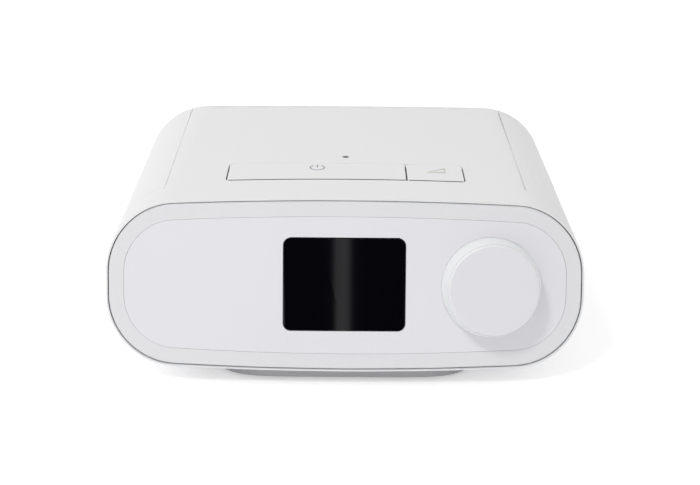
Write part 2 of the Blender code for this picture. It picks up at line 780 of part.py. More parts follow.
def build_cover(material):
    sections = [
        cover_section(y, SEAM_X + COVER_SEAM_GAP, 0, DOOR_THICKNESS, OPENING_Z + DOOR_GAP)
        for y in (DOOR_FRONT_Y, DOOR_REAR_Y)
    ]
    cover = loft("accessory_cover", sections, material, strips=True)
    middle = (DOOR_FRONT_Y + DOOR_REAR_Y) / 2
    cut(cover, finger_notch("cover_notch", -1, middle))
    fuse(cover, *tongues("cover_tongue", -1, middle))
    carry("cover_pull", Matrix.Translation((-SIDE, middle, OPENING_Z)), cover)


def finger_notch(name, side, y):
    """The shallow scoop in a door's lower edge that a fingertip lifts it by."""
    centre_z = OPENING_Z + DOOR_GAP + NOTCH_HEIGHT - NOTCH_RADIUS
    frame = Matrix.Translation((side * SIDE, y, centre_z)) @ Matrix.Rotation(math.radians(90), 4, "Y")
    return disc(name, NOTCH_RADIUS, -DOOR_THICKNESS - PAST, DOOR_THICKNESS + PAST, frame=frame)


def tongues(name, side, y):
    """Two snap tongues inside a door, just above the case's sill."""
    made = []
    for i, shift in enumerate((-TONGUE_SPACING / 2, TONGUE_SPACING / 2)):
        outer = side * (SIDE - DOOR_THICKNESS / 2)
        inner = side * (SIDE - DOOR_THICKNESS - TONGUE_LENGTH)
        z = OPENING_Z + 2 * DOOR_GAP
        low = (min(outer, inner), y + shift - TONGUE_WIDTH / 2, z)
        high = (max(outer, inner), y + shift + TONGUE_WIDTH / 2, z + TONGUE_THICKNESS)
        made.append(box(f"{name}_{i + 1}", low, high))
    return made


# Case


def case_skin(name, material, region, hollow):
    """What a region keeps of the lofted housing with rounded rims, hollowed out."""
    front, rear = front_ring(0), rear_ring(0)
    middle_share = 1 - math.cos(math.radians(45))
    rings = [
        front_ring(FRONT_EDGE_ROUND),
        between(front, rear, FRONT_EDGE_ROUND / BODY_DEPTH),
        between(front, rear, 1 - REAR_EDGE_ROUND / BODY_DEPTH),
        rear_ring(middle_share * REAR_EDGE_ROUND, middle_share * REAR_EDGE_ROUND),
        rear_ring(REAR_EDGE_ROUND),
    ]
    return cut(keep(loft(name, rings, material, strips=True), region), hollow)


def case_hollow():
    front, rear = front_ring(WALL), rear_ring(WALL)
    past_share = PAST / BODY_DEPTH
    rings = [between(front, rear, share) for share in (-past_share, 1 + past_share)]
    return loft("case_hollow", rings, strips=True)


def half_space(name, low, high):
    """A block as wide as the whole machine between two heights."""
    low_corner = (-SIDE - PAST, FACE_Y - FRONT_HEIGHT, low)
    return box(name, low_corner, (SIDE + PAST, REAR_Y + PAST, high))


def post(name, x, y, low, high, radius):
    frame = Matrix.Translation((x, y, 0))
    return disc(name, radius, low, high, frame=frame, steps=SMALL_ROUND_STEPS)


FRONT_POST_Y = FACE_Y + FRONT_POST_BACK
REAR_POST_Y = REAR_Y - REAR_POST_AHEAD
CASE_POSTS = [(side * POST_X, y) for y in (FRONT_POST_Y, REAR_POST_Y) for side in (-1, 1)]


def screw_frame(x, y):
    """Upright, at the underside of a case screw's head."""
    return Matrix.Translation((x, y, case_z(x, y, -1) + SCREW_HEAD_DROP))


def screw_hole(name, x, y):
    head = SCREW_HEAD_RADIUS + SEAT_GAP
    shank = SCREW_RADIUS + SEAT_GAP
    shoulder = SCREW_HEAD_HEIGHT + SEAT_GAP
    top = SCREW_HEAD_HEIGHT + SCREW_LENGTH + SEAT_GAP
    profile = [(0, -SCREW_HEAD_DROP - PAST), (head, -SCREW_HEAD_DROP - PAST), (head, shoulder)]
    profile += [(shank, shoulder), (shank, top), (0, top)]
    return revolve(name, profile, frame=screw_frame(x, y), steps=SMALL_ROUND_STEPS)


def front_step():
    """What the step inside the case's front rim, for the front panel, takes out."""
    rings = [front_ring(PANEL_RIM, back) for back in (-PAST, PANEL_THICKNESS + SEAT_GAP)]
    return loft("front_step", rings, strips=True)


def rear_step():
    depth = REAR_RECESS + REAR_THICKNESS + SEAT_GAP
    return loft("rear_step", [rear_ring(REAR_RIM, ahead) for ahead in (depth, -PAST)], strips=True)


def seam_groove(side):
    """Carries a door's seam on, as a fine groove, to the case's rear rim."""
    top = case_z(SEAM_X, DOOR_REAR_Y)
    frame = Matrix.Translation((side * SEAM_X, DOOR_REAR_Y, top)) @ Matrix.Rotation(TOP_SLOPE, 4, "X")
    low = (-GROOVE_WIDTH / 2, -GROOVE_WIDTH, -GROOVE_DEPTH)
    return box(f"seam_groove_{side}", low, (GROOVE_WIDTH / 2, DOOR_REAR_MARGIN + PAST, PAST), frame=frame)


def hinge_bosses():
    """Blocks under the case's skin that the door's end pins turn in."""
    blocks = []
    far = DOOR_GAP + HINGE_BOSS_LENGTH
    for i, (near_end, far_end) in enumerate(((-far, 0), (HINGE_LENGTH, HINGE_LENGTH + far))):
        low = (-HINGE_BOSS_HALF_WIDTH, near_end, -HINGE_BOSS_DROP)
        high = (HINGE_BOSS_HALF_WIDTH, far_end, HINGE_BOSS_RISE)
        blocks.append(box(f"hinge_boss_{i + 1}", low, high, frame=HINGE))
    return blocks


def build_upper_case(material, hollow, shared_cuts):
    """Upper half of the housing: top, door openings, button opening, and the posts that hang from it."""
    upper_half = half_space("above_parting", PARTING_Z + SEAT_GAP / 2, REAR_LIFT + REAR_HEIGHT + PAST)
    case = case_skin("upper_case", material, upper_half, hollow)
    posts = []
    for i, (x, y) in enumerate(CASE_POSTS):
        low = BOARD_TOP + SEAT_GAP if y == FRONT_POST_Y else PARTING_Z + SEAT_GAP / 2
        top = case_z(abs(x) + POST_RADIUS, y) - WALL / 2
        posts.append(post(f"upper_post_{i + 1}", x, y, low, top, POST_RADIUS))
    for i, y in enumerate((BAY_Y + BAY_POST_INSET, BAY_Y + BAY_LENGTH - BAY_POST_INSET)):
        x = -BAY_INNER_X - BAY_POST_RADIUS
        low = BAY_Z + BAY_HEIGHT + SEAT_GAP
        posts.append(post(f"bay_post_{i + 1}", x, y, low, case_z(x, y) - WALL / 2, BAY_POST_RADIUS))
    for i, (x, y) in enumerate(button_board_corners()):
        frame = TOP @ Matrix.Translation((x, y, 0))
        low = -BUTTON_BOARD_DROP + SEAT_GAP
        name = f"button_boss_{i + 1}"
        posts.append(disc(name, BUTTON_BOSS_RADIUS, low, -WALL / 2, frame=frame, steps=SMALL_ROUND_STEPS))
    fuse(case, *posts, *hinge_bosses())
    cut(case, *shared_cuts, door_opening(), cover_opening())
    cut(case, pin_run("pin_holes", PIN_RADIUS + PIN_GAP, PIN_REACH))
    return cut(case, button_opening(), sensor_hole(), seam_groove(1), seam_groove(-1))


def build_lower_case(material, hollow, shared_cuts):
    """Lower half: floor, foot plate, and the posts and seats that carry what is inside."""
    lower_half = half_space("below_parting", 0, PARTING_Z - SEAT_GAP / 2)
    case = case_skin("lower_case", material, lower_half, hollow)
    seats = [foot_plate()]
    for i, (x, y) in enumerate(CASE_POSTS):
        seats.append(floor_post(f"lower_post_{i + 1}", x, y, PARTING_Z - SEAT_GAP / 2, POST_RADIUS))
    for i, side in enumerate((-1, 1)):
        y = BOARD_Y + BOARD_DEPTH - BOARD_POST_INSET
        name = f"board_post_{i + 1}"
        seats.append(floor_post(name, side * BOARD_POST_X, y, PARTING_Z - SEAT_GAP / 2, BOARD_POST_RADIUS))
    for i, (x, y) in enumerate(power_board_corners()):
        seats.append(floor_post(f"power_post_{i + 1}", x, y, POWER_BOARD_Z - SEAT_GAP, POWER_POST_RADIUS))
    seat_low = case_z(BLOWER_X, BLOWER_Y, -1) + WALL / 2
    seats.append(ring("blower_seat", SEAT_INNER, SEAT_OUTER, seat_low, SEAT_Z, frame=BLOWER))
    for i, x in enumerate((CHAMBER_INNER_X + SHELF_INSET, CHAMBER_MOUTH_X - SHELF_INSET)):
        front, rear = CHAMBER_Y, CHAMBER_Y + CHAMBER_LENGTH
        low = (x - SHELF_THICKNESS / 2, front, max(case_z(x, front, -1), case_z(x, rear, -1)) + FUSE)
        high = (x + SHELF_THICKNESS / 2, rear, CHAMBER_Z - SEAT_GAP)
        seats.append(box(f"filter_shelf_{i + 1}", low, high))
    fuse(case, *seats)
    for i, (x, y) in enumerate(foot_places()):
        frame = Matrix.Translation((x, y, 0))
        recess = FOOT_RADIUS + SEAT_GAP
        top = FOOT_SHOW + FOOT_SUNK
        cut(case, disc(f"foot_recess_{i + 1}", recess, -PAST, top, frame=frame, steps=FOOT_STEPS))
    return cut(case, *shared_cuts)


def floor_post(name, x, y, top, radius):
    """A round post that stands on the case's floor."""
    return post(name, x, y, case_z(x, y, -1) + WALL / 2, top, radius)


def foot_plate_bounds():
    """Low and high corner of the foot plate where it meets the case."""
    front = FACE_Y - FRONT_HEIGHT / 2 * math.sin(FACE_LEAN) + FOOT_PLATE_INSET_FRONT
    return (-FOOT_PLATE_WIDTH / 2, front), (FOOT_PLATE_WIDTH / 2, REAR_Y - FOOT_PLATE_INSET_REAR)


def foot_plate():
    (x0, y0), (x1, y1) = foot_plate_bounds()
    bottom = rounded(
        (x0 + FOOT_PLATE_DRAFT, y0 + FOOT_PLATE_DRAFT_ENDS),
        (x1 - FOOT_PLATE_DRAFT, y1 - FOOT_PLATE_DRAFT_ENDS),
        FOOT_PLATE_CORNER - FOOT_PLATE_DRAFT_ENDS,
    )
    top = rounded((x0, y0), (x1, y1), FOOT_PLATE_CORNER)
    top_z = FRONT_LIFT + WALL * 2 / 3
    rings = [[(x, y, FOOT_SHOW) for x, y in bottom], [(x, y, top_z) for x, y in top]]
    return loft("foot_plate", rings)


def foot_places():
    (x0, y0), (x1, y1) = foot_plate_bounds()
    xs = (x0 + FOOT_PLATE_DRAFT + FOOT_INSET, x1 - FOOT_PLATE_DRAFT - FOOT_INSET)
    return [(x, y) for y in (y0 + FOOT_INSET, y1 - FOOT_INSET) for x in xs]


def build_feet(material):
    top = FOOT_SHOW + FOOT_SUNK - SEAT_GAP
    narrow = FOOT_RADIUS - FOOT_EDGE_ROUND
    profile = [(0, 0), (narrow, 0), (FOOT_RADIUS, FOOT_EDGE_ROUND), (FOOT_RADIUS, top), (0, top)]
    for i, (x, y) in enumerate(foot_places()):
        revolve(f"foot_{i + 1}", profile, material, Matrix.Translation((x, y, 0)), FOOT_STEPS)


def build_case_screws(material):
    """Four case screws, head down, from the underside into the upper case."""
    head, shank = SCREW_HEAD_RADIUS, SCREW_RADIUS
    top = SCREW_HEAD_HEIGHT + SCREW_LENGTH
    drive = SCREW_DRIVE_DEPTH
    profile = [(0, drive), (SCREW_DRIVE_RADIUS, drive), (SCREW_DRIVE_RADIUS, 0), (head, 0)]
    profile += [(head, SCREW_HEAD_HEIGHT), (shank, SCREW_HEAD_HEIGHT), (shank, top - shank), (0, top)]
    for i, (x, y) in enumerate(CASE_POSTS):
        revolve(f"case_screw_{i + 1}", profile, material, screw_frame(x, y), SCREW_STEPS)


# Front panel, display and dial


def build_front(panel_paint, overlay_paint, glass_paint, module_paint):
    panel = loft(
        "front_panel",
        [
            front_ring(PANEL_INSET + FRONT_EDGE_ROUND),
            front_ring(PANEL_INSET, FRONT_EDGE_ROUND),
            front_ring(PANEL_INSET, PANEL_THICKNESS),
        ],
        panel_paint,
        strips=True,
    )
    recess = [front_ring(OVERLAY_INSET - SEAT_GAP, back) for back in (-PAST, OVERLAY_THICKNESS + SEAT_GAP)]
    cut(panel, loft("overlay_recess", recess, strips=True))
    skirt_inset = WALL + SEAT_GAP
    ends = (PANEL_THICKNESS - FUSE, PANEL_THICKNESS + SKIRT_LENGTH)
    skirt = loft("skirt", [front_ring(skirt_inset, back) for back in ends], strips=True)
    inside = [front_ring(skirt_inset + SKIRT_WALL, back) for back in (ends[0] - PAST, ends[1] + PAST)]
    fuse(panel, cut(skirt, loft("skirt_inside", inside, strips=True)))
    dish = disc("dial_dish", DIAL_RADIUS + DIAL_GAP, DISH_FLOOR, DIAL_HEIGHT, frame=DIAL, steps=DIAL_STEPS)
    collar_radius = ENCODER_COLLAR_RADIUS + SEAT_GAP
    collar = disc("collar_hole", collar_radius, -2 * PANEL_THICKNESS, PAST, frame=DIAL, steps=HIDDEN_STEPS)
    window = slab(
        "display_window",
        SCREEN_WIDTH / 2 - SCREEN_LEDGE,
        SCREEN_HEIGHT / 2 - SCREEN_LEDGE,
        SCREEN_CORNER,
        0,
        -PAST,
        PANEL_THICKNESS + PAST,
        rise=SCREEN_RISE,
    )
    cut(panel, dish, collar, window)
    for i, (x, up) in enumerate(ui_board_corners()):
        frame = FACE @ Matrix.Translation((x, up, 0))
        low, high = UI_FRONT + SEAT_GAP, -behind_face(abs(x)) + FUSE
        name = f"display_boss_{i + 1}"
        fuse(panel, disc(name, UI_BOSS_RADIUS, low, high, frame=frame, steps=SMALL_ROUND_STEPS))

    overlay = [front_ring(OVERLAY_INSET, back) for back in (0, OVERLAY_THICKNESS)]
    overlay = loft("front_overlay", overlay, overlay_paint, strips=True)
    glass_hole = slab(
        "glass_hole",
        SCREEN_WIDTH / 2 + SEAT_GAP,
        SCREEN_HEIGHT / 2 + SEAT_GAP,
        SCREEN_CORNER + SEAT_GAP,
        0,
        -PAST,
        OVERLAY_THICKNESS + PAST,
        rise=SCREEN_RISE,
    )
    cut(overlay, glass_hole, dish)
    slab(
        "display_lens",
        SCREEN_WIDTH / 2,
        SCREEN_HEIGHT / 2,
        SCREEN_CORNER,
        0,
        0,
        OVERLAY_THICKNESS,
        glass_paint,
        rise=SCREEN_RISE,
    )
    half_width, half_height = SCREEN_WIDTH / 2 + MODULE_BORDER, SCREEN_HEIGHT / 2 + MODULE_BORDER
    low = (-half_width, SCREEN_RISE - half_height, MODULE_FRONT - MODULE_THICKNESS)
    box("display_module", low, (half_width, SCREEN_RISE + half_height, MODULE_FRONT), module_paint, FACE)


MODULE_FRONT = -behind_face(SCREEN_WIDTH / 2 + MODULE_BORDER) - SEAT_GAP
UI_FRONT = MODULE_FRONT - MODULE_THICKNESS - SEAT_GAP
UI_BACK = UI_FRONT - UI_BOARD_THICKNESS
UI_RIGHT = SIDE - UI_BOARD_EDGE
DIAL = FACE @ Matrix.Translation((DIAL_X, DIAL_RISE, 0))
DISH_FLOOR = DIAL_BASE - DIAL_TRAVEL - DIAL_FLOOR
ENCODER_FRONT = -behind_face(DIAL_X + ENCODER_WIDTH / 2) - SEAT_GAP
ENCODER_BORE_FLOOR = UI_FRONT + SEAT_GAP + ENCODER_FLOOR
PLUNGER_LOW = ENCODER_BORE_FLOOR + DIAL_TRAVEL + PLUNGER_REST
SHAFT_LOW = PLUNGER_LOW + PLUNGER_HEIGHT + SEAT_GAP


def ui_board_corners():
    xs = (-UI_BOARD_LEFT + UI_BOSS_INSET, UI_RIGHT - UI_BOSS_INSET)
    half = UI_BOARD_HEIGHT / 2 - UI_BOSS_INSET
    return [(x, -UI_BOARD_DROP + up) for x in xs for up in (-half, half)]


def build_dial(dial_paint, steel, black, board_paint):
    """The knob on its shaft, and the push-and-turn switch on the display's board."""
    edge = DIAL_EDGE_ROUND * (1 - math.cos(math.radians(45)))
    inner_top = DIAL_TOP - DIAL_WALL
    bore_top = DIAL_BASE + SHAFT_IN_DIAL + SEAT_GAP
    profile = [
        (0, DIAL_TOP),
        (DIAL_FACE_RADIUS - DIAL_EDGE_ROUND, DIAL_TOP),
        (DIAL_FACE_RADIUS - edge, DIAL_TOP - edge),
        (DIAL_FACE_RADIUS, DIAL_TOP - DIAL_EDGE_ROUND),
        (DIAL_RADIUS, -DIAL_FALL),
        (DIAL_RADIUS, DIAL_BASE),
        (DIAL_RADIUS - DIAL_WALL, DIAL_BASE),
        (DIAL_FACE_RADIUS - DIAL_WALL, inner_top),
        (DIAL_HUB_RADIUS, inner_top),
        (DIAL_HUB_RADIUS, DIAL_BASE),
        (SHAFT_RADIUS + SEAT_GAP, DIAL_BASE),
        (SHAFT_RADIUS + SEAT_GAP, bore_top),
        (0, bore_top),
    ]
    knob = revolve("control_dial", profile, dial_paint, DIAL, DIAL_STEPS)
    top = DIAL_BASE + SHAFT_IN_DIAL
    shaft = disc("dial_shaft", SHAFT_RADIUS, SHAFT_LOW, top, steel, DIAL, SMALL_ROUND_STEPS)
    top = PLUNGER_LOW + PLUNGER_HEIGHT
    plunger = disc("dial_plunger", PLUNGER_RADIUS, PLUNGER_LOW, top, black, DIAL, SMALL_ROUND_STEPS)
    half = ENCODER_WIDTH / 2
    body = box("dial_encoder", (-half, -half, UI_FRONT + SEAT_GAP), (half, half, ENCODER_FRONT), black, DIAL)
    low, high = (ENCODER_FRONT + UI_FRONT) / 2, ENCODER_FRONT + ENCODER_COLLAR_HEIGHT
    collar = disc("encoder_collar", ENCODER_COLLAR_RADIUS, low, high, frame=DIAL, steps=HIDDEN_STEPS)
    bore_radius = SHAFT_RADIUS + SEAT_GAP
    bore = disc("encoder_bore", bore_radius, ENCODER_BORE_FLOOR, DIAL_HEIGHT, frame=DIAL, steps=HIDDEN_STEPS)
    cut(fuse(body, collar), bore)
    half_height = UI_BOARD_HEIGHT / 2
    low = (-UI_BOARD_LEFT, -UI_BOARD_DROP - half_height, UI_BACK)
    box("display_board", low, (UI_RIGHT, -UI_BOARD_DROP + half_height, UI_FRONT), board_paint, FACE)
    carry("dial_push", DIAL, plunger)
    carry("dial_turn", DIAL, knob, shaft)


# Buttons


SWITCH_CAP_DROP = WALL + BUTTON_RIB_DROP + BUTTON_FREE_TRAVEL
BUTTON_BOARD_DROP = SWITCH_CAP_DROP + SWITCH_CAP_HEIGHT + SWITCH_HEIGHT + SEAT_GAP
RAMP_RIB_X = (BUTTON_SPLIT_X + BUTTON_BLOCK_WIDTH / 2) / 2


def button_opening():
    half = BUTTON_BLOCK_WIDTH / 2 + BUTTON_GAP / 2
    low = (-half, -BUTTON_LENGTH - BUTTON_GAP / 2)
    return prism("button_opening", rounded(low, (half, 0), BUTTON_CORNER), -2 * WALL, PAST, frame=TOP)


def button_board_corners():
    half = BUTTON_BOARD_WIDTH / 2 - BUTTON_BOSS_INSET
    ys = (-BUTTON_BOARD_AHEAD + BUTTON_BOSS_INSET, BUTTON_BOARD_BEHIND - BUTTON_BOSS_INSET)
    return [(x, y) for y in ys for x in (-half, half)]


def sensor_hole():
    frame = TOP @ Matrix.Translation((0, SENSOR_BEHIND, 0))
    radius = SENSOR_RADIUS + SEAT_GAP
    return disc("sensor_hole", radius, -2 * WALL, PAST, frame=frame, steps=SMALL_ROUND_STEPS)


def build_button(name, material, hollow, left, right, rib_x):
    """A cap cut from the case's own skin, with two rear arms under the case and a rib over its switch."""
    margin = BUTTON_GAP / 2
    low, high = (left + margin, -BUTTON_LENGTH + margin), (right - margin, -SEAT_GAP)
    edge = rounded(low, high, BUTTON_CORNER - margin)
    region = prism(f"{name}_outline", edge, -2 * WALL, PAST, frame=TOP)
    cap = case_skin(name, material, region, hollow)
    arm_top = -WALL - BUTTON_ARM_GAP
    for i, x in enumerate((left + BUTTON_ARM_INSET, right - BUTTON_ARM_INSET)):
        half = BUTTON_ARM_WIDTH / 2
        root_low = (x - half, -BUTTON_ARM_ROOT, arm_top - BUTTON_ARM_THICKNESS)
        root_high = (x + half, -BUTTON_ARM_ROOT / 3, -WALL / 2)
        arm_low = (x - half, -BUTTON_ARM_ROOT * 2 / 3, arm_top - BUTTON_ARM_THICKNESS)
        arm_high = (x + half, BUTTON_ARM_REACH, arm_top)
        root = box(f"{name}_root_{i + 1}", root_low, root_high, frame=TOP)
        arm = box(f"{name}_arm_{i + 1}", arm_low, arm_high, frame=TOP)
        fuse(cap, fuse(root, arm))
    half = BUTTON_RIB / 2
    rib_low = (rib_x - half, -RIB_AHEAD - half, -WALL - BUTTON_RIB_DROP)
    fuse(cap, box(f"{name}_rib", rib_low, (rib_x + half, -RIB_AHEAD + half, -WALL / 2), frame=TOP))
    pivot_z = arm_top - BUTTON_ARM_THICKNESS / 2
    carry(f"{name}_press", TOP @ Matrix.Translation((0, 0, pivot_z)), cap)
    return cap


def build_switch(name, material, x):
    """A small push switch: a square body with a round cap, one piece."""
    half = SWITCH_WIDTH / 2
    base = -BUTTON_BOARD_DROP + SEAT_GAP
    low = (x - half, -RIB_AHEAD - half, base)
    body = box(name, low, (x + half, -RIB_AHEAD + half, base + SWITCH_HEIGHT), material, TOP)
    cap_top = base + SWITCH_HEIGHT + SWITCH_CAP_HEIGHT
    frame = TOP @ Matrix.Translation((x, -RIB_AHEAD, 0))
    cap_low = base + SWITCH_HEIGHT / 2
    cap = disc(f"{name}_cap", SWITCH_CAP_RADIUS, cap_low, cap_top, frame=frame, steps=SMALL_ROUND_STEPS)
    return fuse(body, cap)


def build_buttons(cap_paint, board_paint, black, hollow):
    half = BUTTON_BLOCK_WIDTH / 2
    build_button("power_button", cap_paint, hollow, -half, BUTTON_SPLIT_X, POWER_RIB_X)
    build_button("ramp_button", cap_paint, hollow, BUTTON_SPLIT_X, half, RAMP_RIB_X)
    build_switch("power_switch", black, POWER_RIB_X)
    build_switch("ramp_switch", black, RAMP_RIB_X)
    half = BUTTON_BOARD_WIDTH / 2
    low = (-half, -BUTTON_BOARD_AHEAD, -BUTTON_BOARD_DROP - BOARD_THICKNESS)
    box("button_board", low, (half, BUTTON_BOARD_BEHIND, -BUTTON_BOARD_DROP), board_paint, TOP)
    frame = TOP @ Matrix.Translation((0, SENSOR_BEHIND, 0))
    pipe_low = -BUTTON_BOARD_DROP + SEAT_GAP
    disc("light_sensor_lens", SENSOR_RADIUS, pipe_low, 0, black, frame, SMALL_ROUND_STEPS)


# Main board and what it carries


def ribbon(name, path, thickness, left, right, material):
    """A flat lead that follows a path of (y, z) points and runs from left to right in x."""
    rows = []
    for i, point in enumerate(path):
        before = Vector(path[max(i - 1, 0)])
        after = Vector(path[min(i + 1, len(path) - 1)])
        here = Vector(point)
        arrive = (here - before).normalized() if i else (after - here).normalized()
        leave = (after - here).normalized() if i < len(path) - 1 else arrive
        across = (arrive.orthogonal() + leave.orthogonal()).normalized()
        reach = thickness / 2 / across.dot(leave.orthogonal())
        rows.append((here - across * reach, here + across * reach))
    edge = [low for low, _ in rows] + [high for _, high in reversed(rows)]
    return loft(name, [[(x, y, z) for y, z in edge] for x in (left, right)], material)


def build_main_board(material, screw_holes):
    half = BOARD_WIDTH / 2
    rear, wing = BOARD_Y + BOARD_DEPTH, BOARD_Y + BOARD_WING_DEPTH
    points = [(-half, BOARD_Y), (half, BOARD_Y), (half, wing), (BOARD_WING_X, wing), (BOARD_WING_X, rear)]
    board = prism("main_board", points + [(-half, rear)], BOARD_Z, BOARD_TOP, material)
    return cut(board, *screw_holes[:2])


def build_board_parts(black, shell, card_paint):
    """Chip, sounder, card socket with its card, and the accessory connector."""
    low = BOARD_TOP + SEAT_GAP
    middle = BOARD_Y + BOARD_DEPTH / 2
    half = CHIP_WIDTH / 2
    high = (CHIP_X + half, middle + half, low + CHIP_HEIGHT)
    box("processor_chip", (CHIP_X - half, middle - half, low), high, black)
    frame = Matrix.Translation((SOUNDER_X, middle, low))
    half, top = SOUNDER_HEIGHT / 2, SOUNDER_HEIGHT + PAST
    hole = disc("sounder_hole", SOUNDER_HOLE, half, top, frame=frame, steps=SCREW_STEPS)
    cut(disc("sounder", SOUNDER_RADIUS, 0, SOUNDER_HEIGHT, black, frame, HIDDEN_STEPS), hole)

    right = BOARD_WIDTH / 2 - SD_SOCKET_INSET
    left, front = right - SD_SOCKET_LENGTH, FACE_Y + SD_SOCKET_BACK
    socket_high = (right, front + SD_SOCKET_WIDTH, low + SD_SOCKET_HEIGHT)
    socket = box("sd_socket", (left, front, low), socket_high, shell)
    card_x = left + SD_WALL + SD_CARD_TRAVEL + SD_CARD_GAP
    card_y = front + SD_SOCKET_WIDTH / 2
    card_z = low + SD_SOCKET_HEIGHT / 2
    half, thick = SD_CARD_WIDTH / 2, SD_CARD_THICKNESS / 2
    wide, tall = half + SD_CARD_GAP, thick + SD_CARD_GAP
    slot_low = (left + SD_WALL, card_y - wide, card_z - tall)
    cut(socket, box("sd_slot", slot_low, (right + PAST, card_y + wide, card_z + tall)))
    edge = [(0, -half), (SD_CARD_LENGTH, -half), (SD_CARD_LENGTH, half), (SD_CARD_CHAMFER, half)]
    edge.append((0, half - SD_CARD_CHAMFER))
    card_frame = Matrix.Translation((card_x, card_y, card_z))
    card = prism("sd_card", edge, -thick, thick, card_paint, card_frame)
    carry("card_push", card_frame, card)

    end = BAY_Y - SEAT_GAP
    middle = -BAY_MOUTH_X + CONNECTOR_INSET
    half = CONNECTOR_WIDTH / 2
    body_low = (middle - half, end - CONNECTOR_LENGTH, low)
    body = box("accessory_connector", body_low, (middle + half, end, low + CONNECTOR_HEIGHT), black)
    half -= CONNECTOR_WALL
    tall = CONNECTOR_SLOT / 2
    slot_low = (middle - half, end - CONNECTOR_SLOT_DEPTH, CONNECTOR_SLOT_Z - tall)
    cut(body, box("connector_slot", slot_low, (middle + half, end + PAST, CONNECTOR_SLOT_Z + tall)))


CONNECTOR_SLOT_Z = BOARD_TOP + SEAT_GAP + CONNECTOR_HEIGHT - CONNECTOR_WINDOW_DROP - CONNECTOR_WINDOW / 2


def build_accessory_bay(material):
    """The open-sided tray that an accessory module slides into, with a window for the connector."""
    rear, top = BAY_Y + BAY_LENGTH, BAY_Z + BAY_HEIGHT
    bay = box("accessory_bay", (-BAY_MOUTH_X, BAY_Y, BAY_Z), (-BAY_INNER_X, rear, top), material)
    inside_low = (-BAY_MOUTH_X - PAST, BAY_Y + BAY_WALL, BAY_Z + BAY_WALL)
    inside = box("bay_inside", inside_low, (-BAY_INNER_X - BAY_WALL, rear - BAY_WALL, top - BAY_WALL))
    middle = -BAY_MOUTH_X + CONNECTOR_INSET
    half, high = CONNECTOR_WIDTH / 2 - CONNECTOR_WALL, CONNECTOR_WINDOW / 2
    window_low = (middle - half, BAY_Y - PAST, CONNECTOR_SLOT_Z - high)
    window = box("bay_window", window_low, (middle + half, BAY_Y + BAY_WALL + PAST, CONNECTOR_SLOT_Z + high))
    return cut(bay, inside, window)


# Blower


def spiral(angle, offset):
    return SCROLL_START + SCROLL_GROWTH * angle / (2 * math.pi) + offset


def scroll_outline(offset):
    """The blower housing seen from above: a growing spiral that runs on into a straight duct."""
    duct_x = SCROLL_START - offset
    low, high = 0.05, 1.2
    for _ in range(40):
        middle = (low + high) / 2
        if spiral(middle, offset) * math.cos(middle) > duct_x:
            low = middle
        else:
            high = middle
    turns = [low + (2 * math.pi - low) * step / SCROLL_STEPS for step in range(SCROLL_STEPS + 1)]
    reach = [(turn, spiral(turn, offset)) for turn in turns]
    points = [(radius * math.cos(turn), radius * math.sin(turn)) for turn, radius in reach]
    end = DUCT_LENGTH - SCROLL_WALL + offset
    return points + [(spiral(2 * math.pi, offset), end), (duct_x, end)]


def build_blower_housing(material):
    """Two halves cut from one housing, parted level with the middle of the outlet."""
    outlet = Matrix.Translation((OUTLET_X, BLOWER_Y, OUTLET_Z)) @ Matrix.Rotation(math.radians(-90), 4, "X")
    bottom, top = SCROLL_Z + SCROLL_WALL, SCROLL_TOP - SCROLL_WALL
    spigot_low, spigot_end = DUCT_LENGTH - SCROLL_WALL / 2, DUCT_LENGTH + SPIGOT_LENGTH
    spigot = disc("blower_spigot", SPIGOT_RADIUS, spigot_low, spigot_end, frame=outlet, steps=HIDDEN_STEPS)
    bore_radius, bore_low = SPIGOT_RADIUS - SPIGOT_WALL, DUCT_LENGTH - 2 * SCROLL_WALL
    bore = disc("blower_bore", bore_radius, bore_low, spigot_end + PAST, frame=outlet, steps=HIDDEN_STEPS)
    air = prism("scroll_air", scroll_outline(0), bottom, top, frame=BLOWER)
    lip_low, lip_top = SCROLL_TOP - SCROLL_WALL / 2, SCROLL_TOP + INLET_LIP
    lip = disc("inlet_lip", INLET_RADIUS + SCROLL_WALL, lip_low, lip_top, frame=BLOWER)
    inlet = disc("inlet_hole", INLET_RADIUS, top - PAST, lip_top + PAST, frame=BLOWER)
    shaft_radius = ROTOR_SHAFT_RADIUS + SHAFT_CLEARANCE
    shaft = disc("shaft_hole", shaft_radius, SCROLL_Z - PAST, bottom + PAST, frame=BLOWER)
    for name, low, high in (
        ("blower_base", 0, OUTLET_Z - SEAT_GAP / 2),
        ("blower_cover", OUTLET_Z + SEAT_GAP / 2, lip_top + PAST),
    ):
        half = prism(name, scroll_outline(SCROLL_WALL), SCROLL_Z, SCROLL_TOP, material, BLOWER)
        cut(fuse(half, spigot, lip), air, bore, inlet, shaft)
        keep(half, half_space(f"{name}_half", low, high))


